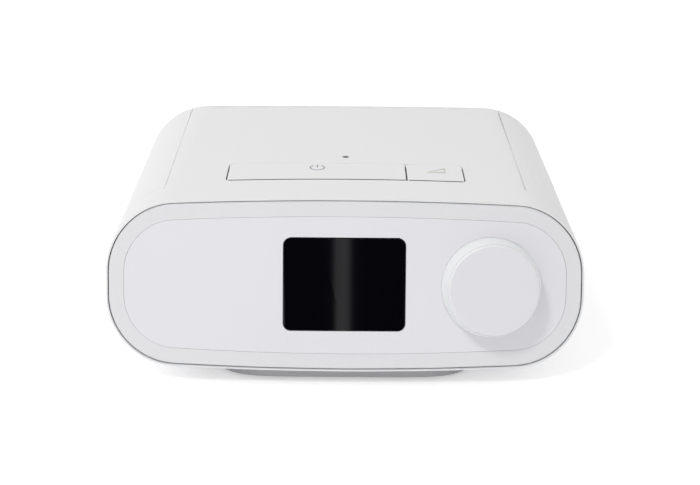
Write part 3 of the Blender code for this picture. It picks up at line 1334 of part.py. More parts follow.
def blades():
    """Swept blades, thinner towards their tips, that start inside the hub and end at the disc's rim."""
    mesh = bmesh.new()
    for blade in range(BLADE_COUNT):
        rows = []
        for step in range(BLADE_STEPS + 1):
            share = step / BLADE_STEPS
            radius = BLADE_ROOT_RADIUS + (IMPELLER_RADIUS - BLADE_EDGE - BLADE_ROOT_RADIUS) * share
            turn = 2 * math.pi * blade / BLADE_COUNT - BLADE_SWEEP * share
            middle = Vector((radius * math.cos(turn), radius * math.sin(turn), 0))
            slope = math.atan2(-BLADE_SWEEP * radius, IMPELLER_RADIUS - BLADE_ROOT_RADIUS)
            across = Vector((-math.sin(turn + slope), math.cos(turn + slope), 0)) * BLADE_THICKNESS / 2
            high = BLADE_INNER_HEIGHT + (BLADE_TIP_HEIGHT - BLADE_INNER_HEIGHT) * share
            corners = (middle - across, middle + across)
            low_row = [Vector((point.x, point.y, IMPELLER_DISC / 2)) for point in corners]
            high_row = [Vector((point.x, point.y, high)) for point in reversed(corners)]
            rows.append([mesh.verts.new(point) for point in low_row + high_row])
        for first, second in zip(rows, rows[1:]):
            for i in range(4):
                j = (i + 1) % 4
                mesh.faces.new((first[i], first[j], second[j], second[i]))
        mesh.faces.new(rows[0])
        mesh.faces.new(rows[-1])
    return make("impeller_blades", mesh, None, IMPELLER)


IMPELLER_Z = SCROLL_Z + SCROLL_WALL + IMPELLER_LIFT
IMPELLER = Matrix.Translation((BLOWER_X, BLOWER_Y, IMPELLER_Z))


def build_rotor(plastic, steel, magnet_paint):
    """Impeller, shaft and magnet, which turn together."""
    bore, bore_top = ROTOR_SHAFT_RADIUS + SEAT_GAP, HUB_HEIGHT - HUB_CAP
    shoulder = HUB_RADIUS - HUB_ROUND
    profile = [(0, HUB_HEIGHT), (shoulder, HUB_HEIGHT), (HUB_RADIUS, HUB_HEIGHT - HUB_ROUND)]
    profile += [(HUB_RADIUS, IMPELLER_DISC), (IMPELLER_RADIUS, IMPELLER_DISC), (IMPELLER_RADIUS, 0)]
    profile += [(bore, 0), (bore, bore_top), (0, bore_top)]
    wheel = fuse(revolve("impeller", profile, plastic, IMPELLER, HIDDEN_STEPS), blades())
    low = BLOWER_Z + MOTOR_BASE - BEARING_SUNK + SEAT_GAP
    shaft_top = IMPELLER_Z + bore_top - SEAT_GAP
    shaft = disc("motor_shaft", ROTOR_SHAFT_RADIUS, low, shaft_top, steel, BLOWER, SMALL_ROUND_STEPS)
    magnet_low = BLOWER_Z + STATOR_LIFT
    top = magnet_low + STATOR_HEIGHT
    magnet = ring("rotor_magnet", bore, MAGNET_RADIUS, magnet_low, top, magnet_paint, BLOWER, HIDDEN_STEPS)
    carry("impeller_spin", IMPELLER, wheel, shaft, magnet)


def build_motor(metal, copper, rubber):
    """Motor cup with a bearing boss, the toothed stator inside it, and the rubber boot they stand in."""
    outer, inner = MOTOR_RADIUS, MOTOR_RADIUS - MOTOR_WALL
    bore = ROTOR_SHAFT_RADIUS + SEAT_GAP
    profile = [(0, 0), (outer, 0), (outer, MOTOR_HEIGHT), (inner, MOTOR_HEIGHT), (inner, MOTOR_BASE)]
    profile += [(BEARING_RADIUS, MOTOR_BASE), (BEARING_RADIUS, MOTOR_BASE + BEARING_HEIGHT)]
    bore_low = MOTOR_BASE - BEARING_SUNK
    profile += [(bore, MOTOR_BASE + BEARING_HEIGHT), (bore, bore_low), (0, bore_low)]
    frame = BLOWER @ Matrix.Translation((0, 0, BLOWER_Z))
    revolve("motor_housing", profile, metal, frame, HIDDEN_STEPS)

    rim = inner - SEAT_GAP
    yoke = rim - STATOR_YOKE
    void = []
    for tooth in range(STATOR_TEETH):
        turn = 2 * math.pi * tooth / STATOR_TEETH
        along, across = Vector((math.cos(turn), math.sin(turn))), Vector((-math.sin(turn), math.cos(turn)))
        steps = ((yoke, -TOOTH_WIDTH), (STATOR_BORE + TOOTH_TIP, -TOOTH_WIDTH))
        steps += ((STATOR_BORE + TOOTH_TIP, -TOOTH_TIP_WIDTH), (STATOR_BORE, -TOOTH_TIP_WIDTH))
        steps += ((STATOR_BORE, TOOTH_TIP_WIDTH), (STATOR_BORE + TOOTH_TIP, TOOTH_TIP_WIDTH))
        steps += ((STATOR_BORE + TOOTH_TIP, TOOTH_WIDTH), (yoke, TOOTH_WIDTH))
        void += [along * out + across * wide / 2 for out, wide in steps]
        middle = turn + math.pi / STATOR_TEETH
        void.append(Vector((math.cos(middle), math.sin(middle))) * yoke)
    low = BLOWER_Z + STATOR_LIFT
    stator = disc("motor_stator", rim, low, low + STATOR_HEIGHT, copper, BLOWER)
    cut(stator, prism("stator_void", void, low - PAST, low + STATOR_HEIGHT + PAST, frame=BLOWER))

    inside = MOTOR_RADIUS + SEAT_GAP
    outside = inside + BOOT_WALL
    profile = [(0, 0), (outside, 0), (outside, BOOT_HEIGHT), (inside, BOOT_HEIGHT)]
    profile += [(inside, BOOT_BASE), (0, BOOT_BASE)]
    frame = BLOWER @ Matrix.Translation((0, 0, SEAT_Z + SEAT_GAP))
    revolve("blower_boot", profile, rubber, frame, HIDDEN_STEPS)


def build_foam(material):
    """Sound-damping foam: a block round the scroll, and one above it with the inlet air channel."""
    inside = scroll_outline(SCROLL_WALL + FOAM_CLEARANCE)
    left = BLOWER_X + min(x for x, _ in inside) - FOAM_MARGIN
    right = BLOWER_X + max(x for x, _ in inside) + FOAM_MARGIN
    front = BLOWER_Y + min(y for _, y in inside) - FOAM_MARGIN
    rear = BLOWER_Y + max(y for _, y in inside) + FOAM_MARGIN
    top = FOAM_Z + FOAM_LOWER_HEIGHT
    lower = box("sound_foam_lower", (left, front, FOAM_Z), (right, rear, top), material)
    half = LEAD_NOTCH_WIDTH / 2
    notch_low = (BLOWER_X - half, front - PAST, FOAM_Z - PAST)
    notch_high = (BLOWER_X + half, BLOWER_Y - SEAT_OUTER, PARTING_Z - LEAD_NOTCH_DROP)
    notch = box("lead_notch", notch_low, notch_high)
    frame = Matrix.Translation((OUTLET_X, rear, OUTLET_Z)) @ Matrix.Rotation(math.radians(90), 4, "X")
    sleeve_radius = SPIGOT_RADIUS + SEAT_GAP + SLEEVE_WALL + SLEEVE_CLEARANCE
    sleeve = disc("foam_sleeve_notch", sleeve_radius, -PAST, 2 * FOAM_MARGIN, frame=frame)
    cavity = prism("foam_cavity", inside, FOAM_Z - PAST, top + PAST, frame=BLOWER)
    cut(lower, cavity, notch, sleeve)

    top = FOAM_UPPER_Z + FOAM_UPPER_HEIGHT
    upper_low = (-FOAM_LEFT, front, FOAM_UPPER_Z)
    upper = box("sound_foam_upper", upper_low, (FOAM_RIGHT, BLOWER_Y + FOAM_UPPER_BEHIND, top), material)
    inlet = INLET_RADIUS + SCROLL_WALL + SEAT_GAP
    half = SNOUT_WIDTH / 2 - CHAMBER_WALL
    roof = CHANNEL_Z + SNOUT_HEIGHT - 2 * CHAMBER_WALL
    hole = disc("foam_inlet", inlet, FOAM_UPPER_Z - PAST, roof, frame=BLOWER)
    channel_low = (BLOWER_X, SNOUT_Y - half, CHANNEL_Z)
    cut(upper, hole, box("foam_channel", channel_low, (FOAM_RIGHT + PAST, SNOUT_Y + half, roof)))


def build_flow_sensor(material):
    half = FLOW_SENSOR_WIDTH / 2
    front = BLOWER_Y + FLOW_SENSOR_BEHIND
    low = (OUTLET_X - half, front, SCROLL_TOP + SEAT_GAP)
    high = (OUTLET_X + half, front + FLOW_SENSOR_DEPTH, SCROLL_TOP + SEAT_GAP + FLOW_SENSOR_HEIGHT)
    box("flow_sensor", low, high, material)


# Filters


SNOUT_Y = CHAMBER_Y + CHAMBER_LENGTH / 2


def build_filters(duct_paint, pollen_paint, fine_paint):
    """The chamber that leads air from the door through two filters to the upper foam."""
    rear, top = CHAMBER_Y + CHAMBER_LENGTH, CHAMBER_Z + CHAMBER_HEIGHT
    duct_low = (CHAMBER_INNER_X, CHAMBER_Y, CHAMBER_Z)
    duct = box("filter_duct", duct_low, (CHAMBER_MOUTH_X, rear, top), duct_paint)
    snout_z = CHANNEL_Z - CHAMBER_WALL
    snout_low = (FOAM_RIGHT + SEAT_GAP, SNOUT_Y - SNOUT_WIDTH / 2, snout_z)
    snout_high = (CHAMBER_INNER_X + CHAMBER_WALL / 2, SNOUT_Y + SNOUT_WIDTH / 2, snout_z + SNOUT_HEIGHT)
    fuse(duct, box("duct_snout", snout_low, snout_high))
    wall = CHAMBER_WALL
    filters_x = CHAMBER_MOUTH_X - 3 * SEAT_GAP - POLLEN_THICKNESS - FINE_THICKNESS
    seat_low = (filters_x - SEAT_GAP, CHAMBER_Y + wall, CHAMBER_Z + wall)
    seat = box("filter_seat", seat_low, (CHAMBER_MOUTH_X + PAST, rear - wall, top - wall))
    lip = wall + FILTER_LIP
    inside_low = (CHAMBER_INNER_X + wall, CHAMBER_Y + lip, CHAMBER_Z + lip)
    inside = box("duct_inside", inside_low, (CHAMBER_MOUTH_X, rear - lip, top - lip))
    throat_low = (FOAM_RIGHT, snout_low[1] + wall, CHANNEL_Z)
    throat_high = (CHAMBER_INNER_X + 2 * wall, snout_high[1] - wall, snout_z + SNOUT_HEIGHT - wall)
    cut(duct, seat, inside, box("duct_throat", throat_low, throat_high))

    margin = wall + SEAT_GAP
    front, back, low, high = CHAMBER_Y + margin, rear - margin, CHAMBER_Z + margin, top - margin
    pollen_x = filters_x + FINE_THICKNESS + SEAT_GAP
    outer = pollen_x + POLLEN_THICKNESS
    pollen = box("pollen_filter", (pollen_x, front, low), (outer, back, high), pollen_paint)
    frame = POLLEN_FRAME
    recess_low = (outer - POLLEN_RECESS, front + frame, low + frame)
    cut(pollen, box("pollen_recess", recess_low, (outer + PAST, back - frame, high - frame)))
    near, far = [], []
    for fold in range(FINE_FOLDS + 1):
        y = front + (back - front) * fold / FINE_FOLDS
        x = filters_x + (FINE_THICKNESS - FINE_SHEET) * (fold % 2)
        near.append((x, y))
        far.append((x + FINE_SHEET, y))
    prism("fine_filter", far + near[::-1], low, high, fine_paint)


# Rear


def ahead_of_rear(x, z):
    """A frame on the rear rim's plane whose Z runs forwards, into the machine."""
    return Matrix.Translation((x, REAR_Y, z)) @ Matrix.Rotation(math.radians(90), 4, "X")


def build_rear(panel_paint, port_paint, sleeve_paint, black):
    inset = REAR_RIM + REAR_GAP
    back = REAR_RECESS + REAR_THICKNESS
    rings = [rear_ring(inset, ahead) for ahead in (back, REAR_RECESS)]
    panel = loft("rear_panel", rings, panel_paint, strips=True)
    outlet = ahead_of_rear(OUTLET_X, OUTLET_Z)
    cup_end = POCKET_DEPTH + POCKET_WALL
    cup_low = REAR_RECESS + REAR_THICKNESS / 2
    cup_radius = POCKET_RADIUS + POCKET_WALL
    fuse(panel, disc("outlet_cup", cup_radius, cup_low, cup_end, frame=outlet, steps=CUP_STEPS))
    cut(panel, disc("outlet_pocket", POCKET_RADIUS, -PAST, POCKET_DEPTH, frame=outlet, steps=CUP_STEPS))
    cut(panel, disc("outlet_hole", OUTLET_RADIUS + SEAT_GAP, 0, cup_end + PAST, frame=outlet))
    jack = ahead_of_rear(JACK_X, JACK_Z)
    cut(panel, disc("jack_hole", JACK_BARREL_RADIUS + SEAT_GAP, -PAST, back + PAST, frame=jack))
    heater = ahead_of_rear(HEATER_X, HEATER_Z)
    half, high = HEATER_WIDTH / 2 - HEATER_STEP + SEAT_GAP, HEATER_HEIGHT / 2 - HEATER_STEP + SEAT_GAP
    cut(panel, box("heater_hole", (-half, -high, -PAST), (half, high, back + PAST), frame=heater))
    for i, side in enumerate((-1, 1)):
        slot = ahead_of_rear(side * LATCH_SLOT_X, LATCH_SLOT_Z)
        wide, tall = LATCH_SLOT_WIDTH / 2, LATCH_SLOT_HEIGHT / 2
        cut(panel, box(f"latch_slot_{i + 1}", (-wide, -tall, -PAST), (wide, tall, back + PAST), frame=slot))

    spigot_end = SPIGOTS_MEET_AHEAD
    bore = SPIGOT_RADIUS - SPIGOT_WALL
    flange_end = FLANGE_AHEAD + OUTLET_FLANGE
    profile = [(OUTLET_BORE, -OUTLET_PROUD), (OUTLET_RADIUS - OUTLET_TAPER, -OUTLET_PROUD)]
    profile += [(OUTLET_RADIUS, POCKET_DEPTH), (OUTLET_RADIUS, FLANGE_AHEAD)]
    profile += [(OUTLET_FLANGE_RADIUS, FLANGE_AHEAD), (OUTLET_FLANGE_RADIUS, flange_end)]
    profile += [(SPIGOT_RADIUS, flange_end), (SPIGOT_RADIUS, spigot_end)]
    profile += [(bore, spigot_end), (bore, flange_end), (OUTLET_BORE, FLANGE_AHEAD)]
    revolve("outlet_port", profile, port_paint, outlet)
    inner = SPIGOT_RADIUS + SEAT_GAP
    sleeve_end = SLEEVE_AHEAD + SLEEVE_LENGTH
    ring("outlet_sleeve", inner, inner + SLEEVE_WALL, SLEEVE_AHEAD, sleeve_end, sleeve_paint, outlet)

    inside = back + SEAT_GAP
    half, high = JACK_WIDTH / 2, JACK_HEIGHT / 2
    body = box("dc_power_jack", (-half, -high, inside), (half, high, inside + JACK_LENGTH), black, jack)
    barrel = disc("jack_barrel", JACK_BARREL_RADIUS, REAR_RECESS, inside + JACK_LENGTH / 2, frame=jack)
    steps = SMALL_ROUND_STEPS
    bore = ring("jack_bore", JACK_PIN_RADIUS, JACK_BORE, -PAST, JACK_BORE_DEPTH, frame=jack, steps=steps)
    pin_end = disc("jack_pin_end", JACK_BORE - FUSE, -PAST, JACK_PIN_RECESS, frame=jack, steps=steps)
    cut(fuse(body, barrel), bore, pin_end)

    half, high = HEATER_WIDTH / 2, HEATER_HEIGHT / 2
    block_low = (-half, -high, inside)
    block = box("heater_connector", block_low, (half, high, inside + HEATER_LENGTH), black, heater)
    half, high = half - HEATER_STEP, high - HEATER_STEP
    fuse(block, box("heater_nose", (-half, -high, REAR_RECESS), (half, high, inside + FUSE), frame=heater))
    for i in range(HEATER_SLOT_COUNT):
        x = (i - (HEATER_SLOT_COUNT - 1) / 2) * HEATER_SLOT_PITCH
        wide, tall = HEATER_SLOT_WIDTH / 2, high - HEATER_STEP
        slot_high = (x + wide, tall, HEATER_SLOT_DEPTH)
        cut(block, box(f"heater_slot_{i + 1}", (x - wide, -tall, -PAST), slot_high, frame=heater))


# Power board and leads


POWER_BOARD_REAR = REAR_Y - POWER_BOARD_AHEAD
POWER_BOARD_TOP = POWER_BOARD_Z + BOARD_THICKNESS


def power_board_corners():
    outer_x = POWER_BOARD_INNER_X + POWER_BOARD_WIDTH
    xs = (-POWER_BOARD_INNER_X - POWER_POST_INSET, -outer_x + POWER_POST_INSET)
    ys = (POWER_BOARD_REAR - POWER_POST_INSET, POWER_BOARD_REAR - POWER_BOARD_LENGTH + POWER_POST_INSET)
    return [(x, y) for x in xs for y in ys]


def build_power_board(board_paint, can_paint, copper):
    right, front = -POWER_BOARD_INNER_X, POWER_BOARD_REAR - POWER_BOARD_LENGTH
    low = (right - POWER_BOARD_WIDTH, front, POWER_BOARD_Z)
    box("power_board", low, (right, POWER_BOARD_REAR, POWER_BOARD_TOP), board_paint)
    middle = right - POWER_BOARD_WIDTH / 2
    base = POWER_BOARD_TOP + SEAT_GAP
    for i in range(2):
        y = front + CAPACITOR_BACK + CAPACITOR_SPACING * i
        frame = Matrix.Translation((middle, y, base))
        edge = CAPACITOR_ROUND
        profile = [(0, 0), (CAPACITOR_RADIUS, 0), (CAPACITOR_RADIUS, CAPACITOR_HEIGHT - edge)]
        profile += [(CAPACITOR_RADIUS - edge, CAPACITOR_HEIGHT), (0, CAPACITOR_HEIGHT)]
        revolve(f"capacitor_{i + 1}", profile, can_paint, frame, SMALL_ROUND_STEPS)
    centre = Matrix.Translation((middle, front + CHOKE_BACK, base + CHOKE_TUBE))
    tube = [(CHOKE_RADIUS + x, y) for x, y in circle(CHOKE_TUBE, CHOKE_STEPS)]
    revolve("choke_coil", tube, copper, centre, SMALL_ROUND_STEPS)


def build_leads(ribbon_paint, lead_paint):
    half = RIBBON_THICKNESS / 2
    board_z = BOARD_TOP + SEAT_GAP + half
    start = FACE @ Vector((0, UI_RIBBON_TOP, UI_BACK - SEAT_GAP - half))
    turn = FACE @ Vector((0, UI_RIBBON_TOP - UI_RIBBON_GRIP, UI_BACK - SEAT_GAP - half))
    path = [(start.y, start.z), (turn.y, turn.z)]
    path += [(BOARD_Y + half, board_z), (BOARD_Y + UI_RIBBON_GRIP, board_z)]
    middle, wide = UI_RIBBON_X, UI_RIBBON_WIDTH / 2
    ribbon("display_ribbon", path, RIBBON_THICKNESS, middle - wide, middle + wide, ribbon_paint)

    under = -BUTTON_BOARD_DROP - BOARD_THICKNESS - SEAT_GAP - half
    y = BUTTON_RIBBON_BACK - BUTTON_REAR
    start, turn = (TOP @ Vector((0, y + shift, under)) for shift in (BUTTON_RIBBON_GRIP, 0))
    path = [(start.y, start.z), (turn.y, turn.z), (turn.y, board_z), (turn.y - BUTTON_RIBBON_GRIP, board_z)]
    middle, wide = BUTTON_RIBBON_X, BUTTON_RIBBON_WIDTH / 2
    ribbon("button_ribbon", path, RIBBON_THICKNESS, middle - wide, middle + wide, ribbon_paint)

    thick = LEAD_THICKNESS
    level = BLOWER_Z + MOTOR_LEAD_LIFT
    under = BOARD_Z - SEAT_GAP
    cup = BLOWER_Y - MOTOR_RADIUS - 2 * SEAT_GAP
    path = [(cup, level), (MOTOR_LEAD_Y, level), (MOTOR_LEAD_Y, under)]
    wide = MOTOR_LEAD_WIDTH / 2
    ribbon("motor_lead", path, thick, BLOWER_X - wide, BLOWER_X + wide, lead_paint)


MOTOR_LEAD_Y = BOARD_Y + BOARD_DEPTH - MOTOR_LEAD_INSET


for existing in list(bpy.data.objects):
    bpy.data.objects.remove(existing)

WHITE = paint("white_case", (0.80, 0.80, 0.80), 0.38)
WHITE_PANEL = paint("white_panel", (0.79, 0.79, 0.81), 0.36)
OVERLAY = paint("cool_white_overlay", (0.75, 0.75, 0.79), 0.42)
BUTTON_WHITE = paint("button_white", (0.80, 0.80, 0.80), 0.34)
DIAL_WHITE = paint("dial_white", (0.77, 0.77, 0.80), 0.38)
GLASS = paint("display_black", (0.004, 0.004, 0.007), 0.12)
GREY = paint("rear_grey", (0.55, 0.56, 0.58), 0.45)
DARK = paint("dark_plastic", (0.03, 0.03, 0.035), 0.45)
PORT = paint("port_grey", (0.62, 0.63, 0.65), 0.4)
RUBBER = paint("grey_rubber", (0.13, 0.13, 0.14), 0.8)
SILICONE = paint("sleeve_silicone", (0.55, 0.58, 0.62), 0.5)
FOAM = paint("sound_foam", (0.06, 0.06, 0.065), 0.95)
GREEN = paint("circuit_board", (0.02, 0.12, 0.05), 0.5)
STEEL = paint("steel", (0.56, 0.56, 0.57), 0.3, 1.0)
ZINC = paint("screw_zinc", (0.42, 0.42, 0.43), 0.4, 1.0)
SHELL = paint("socket_steel", (0.62, 0.61, 0.58), 0.3, 1.0)
COPPER = paint("copper_winding", (0.50, 0.17, 0.06), 0.4, 1.0)
MAGNET = paint("magnet", (0.08, 0.08, 0.09), 0.5, 0.6)
CAN = paint("capacitor_can", (0.04, 0.05, 0.12), 0.4)
CARD = paint("card_label", (0.05, 0.16, 0.36), 0.4)
DUCT = paint("duct_plastic", (0.42, 0.43, 0.45), 0.5)
POLLEN = paint("pollen_fleece", (0.70, 0.72, 0.76), 0.9)
FINE = paint("fine_filter_paper", (0.82, 0.82, 0.80), 0.9)
RIBBON = paint("ribbon_cable", (0.35, 0.36, 0.38), 0.5)
LEAD = paint("motor_lead", (0.03, 0.03, 0.03), 0.6)
SENSOR = paint("sensor_window", (0.02, 0.02, 0.025), 0.25)

HOLLOW = case_hollow()
SCREW_HOLES = [screw_hole(f"screw_hole_{i + 1}", x, y) for i, (x, y) in enumerate(CASE_POSTS)]
SHARED_CUTS = (front_step(), rear_step(), *SCREW_HOLES)

build_upper_case(WHITE, HOLLOW, SHARED_CUTS)
build_lower_case(WHITE_PANEL, HOLLOW, SHARED_CUTS)
build_front(WHITE_PANEL, OVERLAY, GLASS, DARK)
build_dial(DIAL_WHITE, STEEL, DARK, GREEN)
build_buttons(BUTTON_WHITE, GREEN, SENSOR, HOLLOW)
carry("door_hinge", HINGE, build_filter_door(WHITE))
build_cover(WHITE)
build_main_board(GREEN, SCREW_HOLES)
build_board_parts(DARK, SHELL, CARD)
build_accessory_bay(DUCT)
build_blower_housing(DARK)
build_rotor(DUCT, STEEL, MAGNET)
build_motor(ZINC, COPPER, RUBBER)
build_foam(FOAM)
build_flow_sensor(SENSOR)
build_filters(DUCT, POLLEN, FINE)
build_rear(GREY, PORT, SILICONE, DARK)
build_power_board(GREEN, CAN, COPPER)
build_leads(RIBBON, LEAD)
build_feet(RUBBER)
build_case_screws(ZINC)
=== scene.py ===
import json
import math
import bmesh
import bpy
from mathutils import Matrix, Vector
from mathutils.bvhtree import BVHTree


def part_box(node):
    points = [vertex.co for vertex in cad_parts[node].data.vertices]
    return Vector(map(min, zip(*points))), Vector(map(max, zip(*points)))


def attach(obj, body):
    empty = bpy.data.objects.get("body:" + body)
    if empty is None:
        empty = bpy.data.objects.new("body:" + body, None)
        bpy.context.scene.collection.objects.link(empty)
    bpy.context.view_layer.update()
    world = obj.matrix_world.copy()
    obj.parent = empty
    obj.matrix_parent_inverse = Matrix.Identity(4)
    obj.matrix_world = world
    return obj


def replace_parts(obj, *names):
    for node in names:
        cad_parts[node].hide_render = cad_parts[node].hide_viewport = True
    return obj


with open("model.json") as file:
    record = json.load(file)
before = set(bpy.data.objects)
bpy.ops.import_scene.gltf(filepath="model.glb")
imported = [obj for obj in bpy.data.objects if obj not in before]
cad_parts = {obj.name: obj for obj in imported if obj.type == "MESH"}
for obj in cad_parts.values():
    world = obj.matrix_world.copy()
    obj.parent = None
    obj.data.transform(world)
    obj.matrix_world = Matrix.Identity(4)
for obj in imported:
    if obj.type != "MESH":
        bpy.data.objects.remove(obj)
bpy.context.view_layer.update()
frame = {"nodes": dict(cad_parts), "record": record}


# Camera.
# A 70 mm lens half a metre away, above the machine's front, looking down 18 degrees on the face
# and the top. Its small turn and roll are those of a camera held by hand.
CAMERA_PLACE = Vector((-0.00176, -0.57512, 0.22899))
CAMERA_PITCH = math.radians(18.42)
CAMERA_YAW = math.radians(0.396)
CAMERA_ROLL = math.radians(0.544)
LENS_MM, SENSOR_MM = 69.62, 36

lens = bpy.data.cameras.new("studio_camera")
lens.lens = LENS_MM
lens.sensor_width = SENSOR_MM
lens.sensor_fit = "HORIZONTAL"
camera = bpy.data.objects.new("studio_camera", lens)
turn = Matrix.Rotation(-CAMERA_YAW, 4, "Z") @ Matrix.Rotation(math.radians(90) - CAMERA_PITCH, 4, "X")
camera.matrix_world = Matrix.Translation(CAMERA_PLACE) @ turn @ Matrix.Rotation(CAMERA_ROLL, 4, "Z")
bpy.context.scene.collection.objects.link(camera)
bpy.context.scene.camera = camera
bpy.context.scene.view_settings.view_transform = "Standard"


# Rubber feet.
# Four round pads of dark grey rubber, moulded with a soft edge and glued under the lower case.
# Fine matt grain, with a faint bloom where the rubber has aged.
class Value:
    """One socket of a material, so that sums on it are written as sums."""

    def __init__(self, tree, socket):
        self.tree, self.socket = tree, socket

    def maths(self, operation, *values):
        node = self.tree.nodes.new("ShaderNodeMath")
        node.operation = operation
        for socket, value in zip(node.inputs, values):
            feed(self.tree, value, socket)
        return Value(self.tree, node.outputs[0])

    def __add__(self, other):
        return self.maths("ADD", self, other)

    def __radd__(self, other):
        return self.maths("ADD", other, self)

    def __sub__(self, other):
        return self.maths("SUBTRACT", self, other)

    def __mul__(self, other):
        return self.maths("MULTIPLY", self, other)

    def __rmul__(self, other):
        return self.maths("MULTIPLY", other, self)

    def __truediv__(self, other):
        return self.maths("DIVIDE", self, other)

    def __gt__(self, other):
        return self.maths("GREATER_THAN", self, other)

    def __lt__(self, other):
        return self.maths("LESS_THAN", self, other)

    def __abs__(self):
        return self.maths("ABSOLUTE", self)


def feed(tree, value, socket):
    """Links a Value to a socket, or sets the socket to a plain number, vector or colour."""
    if isinstance(value, Value):
        tree.links.new(value.socket, socket)
    else:
        socket.default_value = (*value, 1) if socket.type == "RGBA" and len(value) == 3 else value


class Finish:
    """A Principled material, worked out over the piece's own space."""

    def __init__(self, name, slot=None, **sockets):
        self.material = bpy.data.materials.new(name)
        self.material.use_nodes = True
        self.slot = slot or name
        self.tree = self.material.node_tree
        self.shader = self.tree.nodes["Principled BSDF"]
        self.place = self.node("TexCoord", output="Object")
        self.set(**sockets)

    def set(self, **sockets):
        """Feeds the shader; Base_Color stands for the socket named Base Color."""
        for name, value in sockets.items():
            feed(self.tree, value, self.shader.inputs[name.replace("_", " ")])
            if name == "Base_Color" and not isinstance(value, Value):
                self.material.diffuse_color = (*value, 1)

    def node(self, kind, settings=None, output=0, **sockets):
        made = self.tree.nodes.new("ShaderNode" + kind)
        for name, value in (settings or {}).items():
            setattr(made, name, value)
        for name, value in sockets.items():
            key = int(name[1:]) if name[1:].isdigit() else name.replace("_", " ")
            feed(self.tree, value, made.inputs[key])
        return Value(self.tree, made.outputs[output])

    def noise(self, size, detail=2.0, stretch=(1, 1, 1), roughness=0.5):
        """Noise whose features are about size metres wide."""
        where = self.node("Mapping", Vector=self.place, Scale=stretch)
        return self.node("TexNoise", Vector=where, Scale=1 / size, Detail=detail, Roughness=roughness)

    def cells(self, size):
        """Cells about size metres wide, from 0 at their middles outwards."""
        return self.node("TexVoronoi", output="Distance", Vector=self.place, Scale=1 / size)

    def mix(self, share, first, second):
        """The first colour where share is 0, the second where it is 1."""
        return self.node("Mix", {"data_type": "RGBA"}, 2, _0=share, _6=first, _7=second)

    def tint(self, share, colour, spread):
        """The colour, made darker and lighter by spread as share goes from 0 to 1."""
        darker = [part * (1 - spread) for part in colour]
        lighter = [min(part * (1 + spread), 1) for part in colour]
        return self.mix(share, darker, lighter)

    def shade(self, share, colour):
        """Changes the colour given so far to another one where share is 1."""
        given = Value(self.tree, self.shader.inputs["Base Color"].links[0].from_socket)
        self.set(Base_Color=self.mix(share, given, colour))

    def relief(self, height, depth, strength):
        """A normal for a relief of depth metres."""
        return self.node("Bump", Height=height, Distance=depth, Strength=strength)

    def along(self, axis):
        """One coordinate of the piece's place: 0 for X, 1 for Y, 2 for Z."""
        return self.node("SeparateXYZ", output=axis, Vector=self.place)

    def stripes(self, share, count):
        """A wave from 0 to 1 and back, count times as share goes from 0 to 1."""
        step = share * count
        return abs(step.maths("FRACT", step) - 0.5) * 2

    def facing(self, direction):
        """How far the surface faces a direction, from -1 to 1."""
        outward = self.node("TexCoord", output="Normal")
        return self.node("VectorMath", {"operation": "DOT_PRODUCT"}, "Value", _0=outward, _1=direction)

    def around(self, x, y):
        """The turn about an upright axis through x, y, from -0.5 to 0.5."""
        dx, dy = self.along(0) - x, self.along(1) - y
        return dx.maths("ARCTAN2", dy, dx) / math.tau


BODY_OF = {node: body for body, nodes in frame["record"]["behaviour"]["bodies"].items() for node in nodes}
SHARP_DEGREES = 30
EDGE_STEPS = 2


def add(mesh, name, finish, body, edge=0.0, angle=SHARP_DEGREES):
    """Makes a piece of a bmesh: smooth where it is round, its sharp edges eased by edge metres."""
    data = bpy.data.meshes.new(name)
    mesh.to_mesh(data)
    mesh.free()
    data.shade_smooth()
    data.set_sharp_from_angle(angle=math.radians(angle))
    data.materials.append(finish.material)
    piece = bpy.data.objects.new(name, data)
    bpy.context.scene.collection.objects.link(piece)
    if edge:
        eased = piece.modifiers.new("eased edges", "BEVEL")
        eased.width = edge
        eased.segments = EDGE_STEPS
        eased.limit_method = "ANGLE"
        eased.angle_limit = math.radians(angle)
        eased.harden_normals = True
    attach(piece, body)
    return piece


MERGE_REACH = 1e-6
STILL_FLAT = math.radians(0.4)


def joined(node):
    """A bmesh copy of a CAD node with its points merged and its flat sides made whole."""
    mesh = bmesh.new()
    mesh.from_mesh(frame["nodes"][node].data)
    bmesh.ops.remove_doubles(mesh, verts=mesh.verts, dist=MERGE_REACH)
    bmesh.ops.dissolve_limit(mesh, angle_limit=STILL_FLAT, verts=mesh.verts, edges=mesh.edges)
    return mesh


def refine(finish, *nodes, edge=0.00015):
    """Each CAD node as a piece that shades as round where it is round, with eased edges."""
    for node in nodes:
        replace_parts(add(joined(node), f"{node}_surface", finish, BODY_OF[node], edge), node)


def dress(finish, *nodes):
    """Gives a finish to CAD nodes that keep their own shape."""
    for node in nodes:
        mesh = frame["nodes"][node].data
        mesh.materials.clear()
        mesh.materials.append(finish.material)


RUBBER_GREY, RUBBER_BLOOM = (0.13, 0.13, 0.14), (0.20, 0.20, 0.21)
rubber = Finish("grey_rubber", Specular_IOR_Level=0.35)
grain, bloom = rubber.noise(0.0003, 3.0), rubber.noise(0.006, 4.0)
rubber.set(
    Base_Color=rubber.mix(bloom * 0.35, RUBBER_GREY, RUBBER_BLOOM),
    Roughness=0.68 + bloom * 0.2,
    Normal=rubber.relief(grain, 0.00003, 0.5),
)
refine(rubber, "foot_1", "foot_2", "foot_3", "foot_4", "blower_boot", edge=0.0003)


